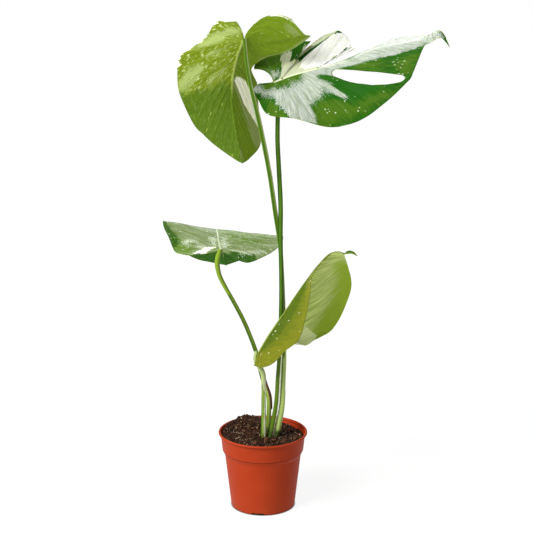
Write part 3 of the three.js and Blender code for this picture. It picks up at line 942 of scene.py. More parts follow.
@dataclass
class Stalk:
    """A leaf stalk: a tapering tube from its sheathing foot in the soil to the knee under its blade.

    Its rows give the middle and the radius from the foot to the tip.
    """

    name: str
    node: str
    slot: str
    skin: StalkSkin
    rows: Rows
    stripes: tuple[Stripe, ...]
    sides: int = 36
    step: float = 2.4
    # A shallow channel faces the viewer's right, as on real stalks of this kind.
    channel: float = 0.09
    channel_at: float = 330.0
    channel_width: float = 26.0
    lump: float = 0.025
    lump_mm: float = 14.0

    def build(self) -> None:
        """Builds the stalk and seats it in place of its solid."""
        rows = np.array(self.rows, float)
        route = Route(rows[:, :3])
        length = route.length()
        count = int(length / self.step)
        knots = route.knots(np.linspace(0, 1, count + 1))
        centres = route.at_knot(knots)
        radii = smooth_blend(rows, knots)[:, 3]
        along = np.gradient(centres, axis=0)
        along /= np.linalg.norm(along, axis=1)[:, None]
        mesh = bmesh.new()
        layers = {band: mesh.verts.layers.float.new(band.value) for band in Band}
        skin = mesh.loops.layers.uv.new(VEIN_MAP)
        map_at = {}
        for i, column in enumerate(sheet(mesh, self.sides + 1, count + 1)):
            degrees = 360 * i / self.sides
            turn = math.radians(degrees)
            dip = self.channel * math.exp(-((away_from(degrees, self.channel_at) / self.channel_width) ** 2))
            for j, v in enumerate(column):
                forward = Vector(along[j])
                right = (Vector((1, 0, 0)) - forward * forward.x).normalized()
                back = forward.cross(right)
                grain = Vector((math.cos(turn), math.sin(turn), j * self.step / self.lump_mm))
                out = radii[j] * (1 + self.lump * noise.noise(grain) - dip)
                v.co = (Vector(centres[j]) + (right * math.cos(turn) + back * math.sin(turn)) * out) * MM
                map_at[v] = (turn * radii[j] / VEIN_MAP_MM, length * j / count / VEIN_MAP_MM)
                for band, layer in layers.items():
                    shares = [s.share(degrees, centres[j][2]) for s in self.stripes if s.band is band]
                    v[layer] = max(shares, default=0.0)
        for face in mesh.faces:
            for loop in face.loops:
                loop[skin].uv = map_at[loop.vert]
        bmesh.ops.remove_doubles(mesh, verts=mesh.verts, dist=WELD)
        close_holes(mesh)
        seat(place(mesh, self.name, self.skin.make()), self.slot, self.node)


@dataclass
class DrySheath:
    """The dead papery sheath on the middle leaf's stalk, whose rows it takes."""

    rows: Rows
    foot: float = 139.0
    top: float = 184.0
    turn: float = -15.0
    spread: float = 56.0
    clear: float = 0.6
    thickness: float = 0.7
    columns: int = 20
    lengths: int = 60
    fray: float = 0.16
    crimp: float = 0.12
    # A point inside the wrap, in metres, which its faces point away from.
    inside: tuple[float, float, float] = (0.002, -0.006, 0.15)

    def build(self) -> None:
        """Builds the sheath and seats it in place of its solid."""
        rows = np.array(self.rows, float)
        mesh = bmesh.new()
        for i, column in enumerate(sheet(mesh, self.columns + 1, self.lengths + 1)):
            across = i / (self.columns / 2) - 1
            for j, v in enumerate(column):
                along = j / self.lengths
                z = self.foot + (self.top - self.foot) * along
                k = int(np.searchsorted(rows[:, 2], z)) - 1
                share = (z - rows[k, 2]) / (rows[k + 1, 2] - rows[k, 2])
                x, y, _, radius = smooth_blend(rows, np.array([k + share]))[0]
                width = 0.1 + 0.9 * math.sin(math.pi * (0.15 + 0.8 * along))
                tatter = noise.noise(Vector((z / 2.2, 4 * math.copysign(1, across), 0)))
                frayed = 1 + self.fray * tatter * abs(across)
                angle = math.radians(self.turn - self.spread * width * across * frayed)
                crimp = self.crimp * noise.noise(Vector((across * 5, z / 9, 2.0)))
                out = radius + self.clear + self.thickness + crimp
                v.co = Vector((x + out * math.cos(angle), y + out * math.sin(angle), z)) * MM
        bmesh.ops.recalc_face_normals(mesh, faces=mesh.faces)
        probe = next(iter(mesh.faces))
        if probe.normal.dot(probe.calc_center_median() - Vector(self.inside)) < 0:
            bmesh.ops.reverse_faces(mesh, faces=mesh.faces)
        wrap = place(mesh, "dry_sheath_wrap", WitheredSheath().make())
        wall = wrap.modifiers.new("paper", "SOLIDIFY")
        wall.thickness, wall.offset = self.thickness * MM, -1
        seat(wrap, "dry_sheath", "dry_sheath")


@dataclass(frozen=True)
class Half:
    """One half of a blade.

    A vein's row gives the share of the midrib where the vein leaves it, its end on the margin, and how far it
    bows towards the tip and upwards. A lobe is a run of veins, and the cuts lie between the lobes, from one share
    of the veins' length to another. lean is the slope and the bow of the side veins towards the tip. Each patch
    of a mark is rows of a place across the veins, and where the patch starts and ends along the vein there, in
    mm: -5 lies before the midrib, and 99 lies past the margin.
    """

    lean: tuple[float, float]
    lobes: tuple[Rows, ...]
    marks: dict[Mark, tuple[Rows, ...]]
    cuts: Rows = ()

    def depths(self, u: np.ndarray, v: np.ndarray) -> dict[str, np.ndarray]:
        """Works out how deep each point lies inside each mark's patches.

        Args:
            u: Place across the veins in mm.
            v: Place along the vein in mm.

        Returns:
            One array of mm per mark, below 0 outside its patches.
        """
        values = {}
        for mark in Mark:
            level = np.full(u.shape, -FAR)
            for patch in self.marks.get(mark, ()):
                at, start, end = np.array(patch, float).T
                inside = [u - at[0], at[-1] - u, v - np.interp(u, at, start), np.interp(u, at, end) - v]
                level = np.maximum(level, np.minimum.reduce(inside))
            values[mark.value] = np.clip(level, -FAR, FAR)
        return values


@dataclass
class Lobe:
    """Part of a half blade between two cuts: veins that leave the midrib and end on the margin."""

    starts: np.ndarray
    veins: np.ndarray

    def points(self, midrib: Route, q: np.ndarray, r: np.ndarray) -> np.ndarray:
        """Gives the lobe's points.

        Args:
            midrib: The blade's midrib.
            q: One vein number per column.
            r: Shares of the way from midrib to margin, by column and row.

        Returns:
            Points by column and row.
        """
        knots = np.clip(np.floor(q).astype(int), 0, len(self.starts) - 2)
        s = self.starts[knots] + (self.starts[knots + 1] - self.starts[knots]) * (q - knots)
        rib, vein = midrib.at(s)[:, None], smooth_blend(self.veins, q)[:, None]
        r = r[:, :, None]
        return rib * (1 - r) ** 2 + 2 * r * (1 - r) * vein[..., 3:] + r**2 * vein[..., :3]

    def vein_at(self, share: float) -> float:
        """Gives the number of the vein that leaves the midrib at a share, past any fan there.

        Args:
            share: The share of the midrib.

        Returns:
            The vein's number, with a fraction between two veins.
        """
        i = int(np.searchsorted(self.starts, share, side="right")) - 1
        if i >= len(self.starts) - 1:
            return float(len(self.starts) - 1)
        return i + (share - self.starts[i]) / (self.starts[i + 1] - self.starts[i])

    def columns(self, stations: np.ndarray, step: float) -> np.ndarray:
        """Lists the vein numbers of the lobe's columns.

        Args:
            stations: The shares of the midrib that both halves share.
            step: The spacing of columns where veins fan out from one place, in mm.

        Returns:
            Vein numbers from the lobe's first vein to its last.
        """
        found: list[float] = []
        for i, (a, b) in enumerate(zip(self.starts, self.starts[1:])):
            if b - a < 1e-9:
                chord = np.linalg.norm(self.veins[i + 1, :3] - self.veins[i, :3])
                count = max(1, math.ceil(chord / step))
                found += [i + k / count for k in range(count)]
            else:
                found += [i + (s - a) / (b - a) for s in stations if a - 1e-9 <= s < b - 1e-9]
        return np.array(found + [len(self.starts) - 1.0])


@dataclass
class Laid:
    """A half blade laid out by column and row, with u across and v along its veins in mm."""

    points: np.ndarray
    u: np.ndarray
    v: np.ndarray
    shares: np.ndarray
    openings: list[tuple[int, int, int, int]]

    def is_open(self, corners: list[tuple[int, int]]) -> bool:
        """Says whether a face lies in one of the openings.

        Args:
            corners: The column and row of each of its corners.

        Returns:
            Whether it does.
        """
        return any(
            all(low <= i <= high and first <= j <= last for i, j in corners)
            for low, high, first, last in self.openings
        )


@dataclass
class Blade:
    """A leaf blade: two halves of bowed veins on one midrib, with relief, thickness and marbling."""

    name: str
    node: str
    slot: str
    upper: BladeSkin
    under: BladeSkin
    spine: Rows
    left: Half
    right: Half
    step: float = 1.9
    rows: int = 54
    gap_columns: int = 5
    thickness: float = 0.8
    rib_height: float = 1.2
    rib_width: float = 1.1
    rib_taper: float = 0.72
    rib_fade: float = 1.0
    rib_samples: int = 240
    rounding: float = 0.035
    lateral_mm: float = 13.0
    groove_mm: float = 1.8
    wave: float = 0.8
    groove: float = 0.5

    def __post_init__(self) -> None:
        """Prepares the midrib."""
        self.midrib = Route(np.array(self.spine, float))

    def half(self, side: Side) -> Half:
        """Gives one half's tables."""
        return self.left if side is Side.LEFT else self.right

    def lobes(self, side: Side) -> list[Lobe]:
        """Works out the bowed veins of one half.

        Args:
            side: The half.

        Returns:
            Its lobes from the leaf's base to its tip.
        """
        tip = self.midrib.at(np.array([1.0]))[0]
        tables = [list(lobe) for lobe in self.half(side).lobes]
        tables[-1].append((1, *tip))
        lobes = []
        for table in tables:
            rows = np.array([tuple(row) + (0,) * (6 - len(row)) for row in table], float)
            ends, starts = rows[:, 1:4], rows[:, 0]
            roots = self.midrib.at(starts)
            onward = np.vstack([ends[1:], ends[-1:]]) - np.vstack([ends[:1], ends[:-1]])
            along = ends - roots
            along /= np.maximum(np.linalg.norm(along, axis=1), 1e-9)[:, None]
            onward -= along * (along * onward).sum(axis=1)[:, None]
            onward /= np.maximum(np.linalg.norm(onward, axis=1), 1e-9)[:, None]
            above = np.cross(onward, along) * side.value
            middle = (roots + ends) / 2 + 2 * rows[:, 4:5] * onward + 2 * rows[:, 5:6] * above
            middle[starts >= 1] = tip
            lobes.append(Lobe(starts, np.hstack([ends, middle])))
        return lobes

    def stations(self, halves: dict[Side, list[Lobe]]) -> np.ndarray:
        """Chooses the shares of the midrib where both halves have a column.

        Args:
            halves: The lobes of both halves.

        Returns:
            Shares from 0 to 1, closer where the margin is longer.
        """
        lobes = [lobe for half in halves.values() for lobe in half]
        knots = sorted({float(s) for lobe in lobes for s in lobe.starts})
        shares = []
        for low, high in zip(knots, knots[1:]):
            longest = 0.0
            for lobe in lobes:
                if lobe.starts[0] <= low and high <= lobe.starts[-1]:
                    places = [lobe.vein_at(s) for s in np.linspace(low, high, 5)]
                    ends = smooth_blend(lobe.veins, np.array(places))[:, :3]
                    longest = max(longest, float(np.linalg.norm(np.diff(ends, axis=0), axis=1).sum()))
            count = max(1, math.ceil(longest / self.step))
            shares += [low + (high - low) * k / count for k in range(count)]
        return np.array(shares + [1.0])

    def shares(self, cuts: Rows) -> np.ndarray:
        """Chooses the rows of a half, close together near the midrib and with one at each end of a cut.

        Args:
            cuts: Where each cut opens and shuts.

        Returns:
            Shares of the way from midrib to margin.
        """
        rows = list(np.linspace(0, 1, self.rows) ** 1.35) + [0.993]
        for opens, shuts in cuts:
            for edge in (opens + self.rounding, shuts - self.rounding):
                if edge < 1 - self.rounding:
                    rows[int(np.argmin(np.abs(np.array(rows) - edge)))] = edge
        return np.array(sorted(rows))

    def span(self, before: Lobe, after: Lobe, cut: Row, shares: np.ndarray) -> tuple[np.ndarray, int, int]:
        """Spans a cut between two lobes with columns that round off its ends.

        Args:
            before: The lobe nearer the blade's base.
            after: The lobe nearer its tip.
            cut: Where the cut opens and shuts.
            shares: The rows of the half.

        Returns:
            Points by column and row, and the rows where the cut opens and shuts.
        """
        opens, shuts = cut
        first = int(np.argmin(np.abs(shares - opens - self.rounding)))
        last = len(shares) - 1
        if shuts < 1:
            last = int(np.argmin(np.abs(shares - shuts + self.rounding)))
        gap = np.arange(1, self.gap_columns + 1) / (self.gap_columns + 1)
        round_off = (4 * gap * (1 - gap))[:, None]
        r = np.broadcast_to(shares, (len(gap), len(shares))).copy()
        inner, outer = shares <= shares[first], shares >= shares[last]
        r[:, inner] *= 1 - round_off * self.rounding / shares[first]
        if shuts < 1:
            r[:, outer] = 1 - (1 - r[:, outer]) * (1 - round_off * self.rounding / (1 - shares[last]))
        start = before.points(self.midrib, np.full(len(gap), len(before.starts) - 1.0), r)
        end = after.points(self.midrib, np.zeros(len(gap)), r)
        weight = gap[:, None, None]
        return start * (1 - weight) + end * weight, first, last

    def lay_out(self, half: Half, lobes: list[Lobe], stations: np.ndarray) -> Laid:
        """Lays out one half's points by column and row.

        Args:
            half: The half's tables.
            lobes: Its lobes.
            stations: The shares of the midrib that both halves share.

        Returns:
            The half, with its cuts still spanned.
        """
        shares = self.shares(half.cuts)
        points, across, openings = [], [], []
        reached, total = 0.0, 0
        for n, lobe in enumerate(lobes):
            if n:
                block, first, last = self.span(lobes[n - 1], lobe, half.cuts[n - 1], shares)
                points.append(block)
                across.append(np.full(len(block), reached))
                openings.append((total - 1, total + len(block), first, last))
                total += len(block)
            q = lobe.columns(stations, self.step)
            middle = lobe.points(self.midrib, q, np.full((len(q), 1), 0.55))[:, 0]
            walked = reached + np.concatenate([[0], np.cumsum(np.linalg.norm(np.diff(middle, axis=0), axis=1))])
            reached = float(walked[-1])
            points.append(lobe.points(self.midrib, q, np.broadcast_to(shares, (len(q), len(shares)))))
            across.append(walked)
            total += len(q)
        laid = np.vstack(points)
        chord = np.linalg.norm(laid[:, -1] - laid[:, 0], axis=1)
        v = shares[None, :] * chord[:, None]
        return Laid(laid, np.broadcast_to(np.concatenate(across)[:, None], v.shape), v, shares, openings)

    def relief(self, laid: Laid, leant: np.ndarray) -> dict[str, np.ndarray]:
        """Shapes the midrib, the grooves over the side veins and the waves between them.

        Args:
            laid: The half.
            leant: Each point's place across the leaning side veins in mm.

        Returns:
            How deep each point lies in the rib in mm, its lift in metres, and its share of the full wall.
        """
        last = self.rib_samples - 1
        line = self.midrib.at(np.linspace(0, 1, self.rib_samples))
        gaps = np.linalg.norm(laid.points[:, :, None] - line[None, None], axis=3)
        nearest = gaps.argmin(axis=2)
        rib = self.rib_width * (1 - self.rib_taper * nearest / last) - gaps.min(axis=2)
        faded = 3 * smooth_step(nearest / last, self.rib_fade - 0.15, self.rib_fade + 0.1)
        lateral = np.abs((leant / self.lateral_mm + 0.5) % 1 - 0.5) * self.lateral_mm
        fade = 1 - smooth_step(laid.shares, 0.75, 1.0)[None, :]
        groove = np.exp(-((lateral / self.groove_mm) ** 2)) * fade
        hollow = np.exp(-((laid.v / self.groove_mm) ** 2))
        x, y, z = np.moveaxis(laid.points, 2, 0)
        wave = self.wave * np.sin(x / 11 + 1.3 * np.sin(z / 17)) * np.cos(z / 13 + y / 19)
        calm = smooth_step(laid.v, 2, 25)
        lift = self.thickness / 2 + calm * (wave * 0.6 + 0.35 - self.groove * groove) - 0.35 * hollow
        ridge = np.exp(-(np.maximum(-rib, 0) ** 2)) * (1 - nearest / last)
        depth = self.thickness + self.rib_height * np.maximum(ridge, 0.3 * groove * (1 - laid.shares[None, :]))
        return {
            "rib": np.clip(rib - faded, -FAR, FAR),
            "lift": lift * MM,
            "flesh": depth / (self.thickness + self.rib_height),
        }

    def lay_half(
        self, mesh: bmesh.types.BMesh, side: Side, laid: Laid,
        layers: dict[str, Layer], flesh: Layer, veins: Layer,
    ) -> None:
        """Bends a grid into one half of the blade, marks it and opens its cuts.

        Args:
            mesh: The mesh that gets the half.
            side: The half.
            laid: Its layout.
            layers: Number layers of the vertices by name.
            flesh: The layer that holds the blade's thickness.
            veins: The layer that holds the vein map.
        """
        half = self.half(side)
        # Real veins lean towards the tip more than the columns do.
        slope, bow = half.lean
        leant = laid.u - slope * laid.v - bow * laid.v**2
        values = half.depths(laid.u, laid.v) | self.relief(laid, leant)
        grid = sheet(mesh, *laid.v.shape)
        faces = {face for column in grid for vert in column for face in vert.link_faces}
        spot = {}
        for i, column in enumerate(grid):
            for j, vert in enumerate(column):
                vert.co = laid.points[i, j] * MM
                vert[flesh][0] = float(values["flesh"][i, j])
                spot[vert] = (i, j)
                for name, layer in layers.items():
                    vert[layer] = float(values[name][i, j])
        shift = 0 if side is Side.LEFT else RIGHT_HALF_MM
        doomed = []
        for face in faces:
            corners = [spot[loop.vert] for loop in face.loops]
            for loop, at in zip(face.loops, corners):
                loop[veins].uv = ((leant[at] + shift) / VEIN_MAP_MM, laid.v[at] / VEIN_MAP_MM)
            if laid.is_open(corners):
                doomed.append(face)
        if side is Side.RIGHT:
            bmesh.ops.reverse_faces(mesh, faces=list(faces))
        bmesh.ops.delete(mesh, geom=doomed, context="FACES")

    def build(self) -> None:
        """Builds the blade and seats it in place of its solid."""
        mesh = bmesh.new()
        layers = {name: mesh.verts.layers.float.new(name) for name in ("lift", "rib", *(m.value for m in Mark))}
        flesh = mesh.verts.layers.deform.verify()
        veins = mesh.loops.layers.uv.new(VEIN_MAP)
        halves = {side: self.lobes(side) for side in Side}
        stations = self.stations(halves)
        for side, lobes in halves.items():
            self.lay_half(mesh, side, self.lay_out(self.half(side), lobes, stations), layers, flesh, veins)
        bmesh.ops.remove_doubles(mesh, verts=mesh.verts, dist=20 * WELD)
        mesh.normal_update()
        for v in mesh.verts:
            v.co += v.normal * v[layers["lift"]]
        blade = place(mesh, self.name, self.upper.make(), self.under.make())
        blade.vertex_groups.new(name="flesh")
        wall = blade.modifiers.new("flesh", "SOLIDIFY")
        wall.thickness, wall.offset = (self.thickness + self.rib_height) * MM, -1
        wall.vertex_group, wall.material_offset, wall.material_offset_rim = "flesh", 1, 1
        soft = blade.modifiers.new("even_shading", "WEIGHTED_NORMAL")
        soft.mode, soft.weight, soft.keep_sharp = "FACE_AREA", 100, False
        seat(blade, self.slot, self.node)


STEM_SKIN = StalkSkin("corky_stem", "#7a6d42", "#8b8352", "#a39a6d", "#90875a", "#5c4b2c", "#4a3a22", 0.7)
GREEN_SKIN = StalkSkin("green_stalk_skin", "#567818", "#6d8a26", "#dde5b4", "#a6ba68", "#36560f", "#3c4f1e")
DEEP_SKIN = StalkSkin("deep_green_stalk_skin", "#3c5f12", "#4c7118", "#eef3cc", "#526b18", "#264a0c", "#3c4f1e")
OLIVE_SKIN = StalkSkin("olive_stalk_skin", "#6b861e", "#7f9a2d", "#d0d6ab", "#a2b45a", "#3f5b17", "#4c5820")
YOUNG_SKIN = StalkSkin("young_stalk_skin", "#6a8626", "#83994a", "#f0f4d6", "#9fad72", "#4a6a18", "#5c5426")

# On the upper left leaf its light tone is painted light, the glow of light through the blade, and its dark tone,
# lighter than its base, paints the half in shade lighter.
MATTE_UNDER = BladeSkin(
    name="matte_underside", base="#4c670b", base_streak="#526d0e", dark="#728e15", light="#6a7c0e",
    sage="#bdc985", silver="#98a564", silver_streak="#89994f", cream="#fffff0", cream_streak="#f6f6dc",
    rib="#94a154", speck="#a1ac56", vein_tint="#3c570e", vein_share=0.16, fine_share=0.05, roughness=0.56,
    speck_share=0.3, speck_mm=(5.0, 13.0), fleck_from=0.36, grain=0.8,
)
GLOSSY_UPPER = BladeSkin(
    name="glossy_upper_face", base="#225a0c", base_streak="#2d610f", dark="#215c0e", light="#496c15",
    sage="#bdc2a3", silver="#c2c7c0", silver_streak="#8a977e", cream="#e9e9ea", cream_streak="#dcddd3",
    rib="#d3d9b8", speck="#ced6ba", vein_tint="#245a1c", vein_share=0.16, roughness=0.34, speck_share=0.6,
    speck_mm=(4.8, 5.4), fleck_from=1.1,
)
SILVER_UPPER = BladeSkin(
    name="silver_upper_face", base="#63773d", base_streak="#85926c", dark="#2c530c", light="#5c7a24",
    sage="#9fa98a", silver="#c3ccb6", silver_streak="#a6b394", cream="#f2f2e8", cream_streak="#e2e4d2",
    rib="#b9c3a2", speck="#ccd4c0", vein_tint="#5a7a3c", vein_share=0.2, roughness=0.36, speck_share=0.65,
    speck_mm=(4.2, 5.2), fleck_from=0.3,
)
SILVER_UNDER = BladeSkin(
    name="deep_underside", base="#346719", base_streak="#42741c", dark="#214d16", light="#6d8826",
    sage="#7f9652", silver="#87984a", silver_streak="#748a3c", cream="#d9dab6", cream_streak="#c4cba0",
    rib="#93a75c", speck="#6f8a3c", vein_tint="#28501a", vein_share=0.25, roughness=0.5, fleck_from=1.5,
    speck_share=0.1,
)
# Its greens are painted lighter than the leaf's own, to make up for the shade that the near half casts on the far
# half.
YOUNG_UPPER = BladeSkin(
    name="young_upper_face", base="#99ab4f", base_streak="#ddea94", dark="#5a7a20", light="#99b22d",
    sage="#b3c38e", silver="#b9c394", silver_streak="#a2af78", cream="#e9efc0", cream_streak="#d3dca7",
    rib="#9cab68", speck="#c6cca6", vein_tint="#48651c", vein_share=0.4, fine_share=0.2, roughness=0.48,
    speck_share=0.05, speck_mm=(8.0, 9.0), fleck_from=0.9, grain=0.6,
)
YOUNG_UNDER = BladeSkin(
    name="young_underside", base="#596411", base_streak="#626c13", dark="#495c0f", light="#6c7014",
    sage="#aab46a", silver="#aab780", silver_streak="#9dab72", cream="#cfd2b0", cream_streak="#bcc29a",
    rib="#7f8c34", speck="#c9cdb4", vein_tint="#55661a", vein_share=0.3, fine_share=0.1, roughness=0.5,
    speck_share=0.5, speck_mm=(5.6, 6.0), fleck_from=1.5, grain=0.6,
)

MIDDLE_ROWS = (
    (6.5, -7.5, 79.3, 3.0), (7, -7.5, 101, 3.1), (8, -7, 130, 3.2), (7.5, -6, 156, 3.2), (1, -6, 177, 3.1),
    (-4, -5, 196, 3.0), (-9, -5, 218, 2.9), (-17, -5, 241, 2.8), (-25.8, -6, 263, 2.8), (-38.5, -8, 289, 2.7),
    (-49.5, -10, 310, 2.8), (-57, -12, 327, 3.0), (-59.5, -13, 344, 3.4), (-58, -12.5, 353, 3.3),
    (-55.6, -12, 361, 2.8),
)

STALKS = (
    Stalk(
        name="stalk_upper_left", node="petiole_upper_left", slot="stalk", skin=GREEN_SKIN,
        rows=(
            (16.5, -12, 79.3, 3.6), (18, -12.5, 100, 4.2), (20.3, -12, 114, 4.4), (25.5, -12, 146, 3.9),
            (27, -11, 181, 3.6), (28, -11, 213, 3.5), (27, -11, 281, 3.0), (23, -14, 361, 2.8),
            (16, -18, 413, 3.1), (8.5, -24, 466, 3.1), (-5.4, -28, 537, 3.0), (-15.6, -28, 580, 2.5),
            (-20, -27, 607, 2.2), (-22.8, -22.5, 636, 2.3),
        ),
        stripes=(
            Stripe(Band.FOOT, 70, 112, 270, 200), Stripe(Band.WAN, 96, 345, 345, 50),
            Stripe(Band.WAN, 92, 215, 280, 60, 30), Stripe(Band.PALE, 96, 265, 205, 24),
            Stripe(Band.PALE, 165, 345, 350, 28), Stripe(Band.DEEP, 300, 640, 250, 26),
            Stripe(Band.PALE, 380, 640, 330, 18),
        ),
    ),
    Stalk(
        name="stalk_upper_right", node="petiole_upper_right", slot="stalk", skin=DEEP_SKIN,
        rows=(
            (9, -15.5, 79.3, 3.3), (9.5, -15.5, 97, 3.8), (13, -16, 119, 3.5), (18, -17, 151, 3.2),
            (20, -18, 184, 3.1), (22, -19, 216, 3.0), (24, -21, 284, 2.9), (24, -23, 332, 2.9),
            (23, -22, 380, 3.0), (23, -18, 422, 3.1), (21, -13, 464, 3.1), (19, -10, 504, 3.0),
            (19, -6, 543, 2.9), (17.5, -2.5, 562, 2.8), (15.6, 0.5, 572, 2.6), (14.8, 0.5, 578, 2.3),
        ),
        stripes=(
            Stripe(Band.FOOT, 70, 112, 270, 200), Stripe(Band.WAN, 96, 250, 270, 70),
            Stripe(Band.PALE, 96, 262, 338, 24), Stripe(Band.WAN, 90, 122, 300, 90),
            Stripe(Band.DEEP, 270, 580, 215, 22),
        ),
    ),
    Stalk(
        name="stalk_middle_left", node="petiole_middle_left", slot="stalk", skin=OLIVE_SKIN,
        rows=MIDDLE_ROWS,
        stripes=(
            Stripe(Band.FOOT, 70, 112, 270, 200), Stripe(Band.WAN, 100, 180, 300, 50),
            Stripe(Band.DEEP, 180, 300, 230, 50),
        ),
    ),
    Stalk(
        name="stalk_lower_right", node="petiole_lower_right", slot="young_stalk", skin=YOUNG_SKIN,
        rows=(
            (1, -18, 79.3, 3.7), (1, -18, 104, 4.0), (1, -20.5, 140, 3.2), (1, -23.5, 177, 3.1),
            (0, -24, 195, 3.4), (-5, -23.5, 205, 3.5), (-9.4, -23.2, 214, 3.3), (-8.3, -25, 225, 3.1),
        ),
        stripes=(
            Stripe(Band.FOOT, 70, 108, 270, 200), Stripe(Band.PALE, 90, 188, 294, 14, 22),
            Stripe(Band.WAN, 196, 232, 190, 80), Stripe(Band.WAN, 90, 130, 320, 60),
            Stripe(Band.WAN, 172, 205, 290, 90), Stripe(Band.FOOT, 172, 180, 232, 14),
            Stripe(Band.DEEP, 100, 165, 205, 26),
        ),
    ),
)

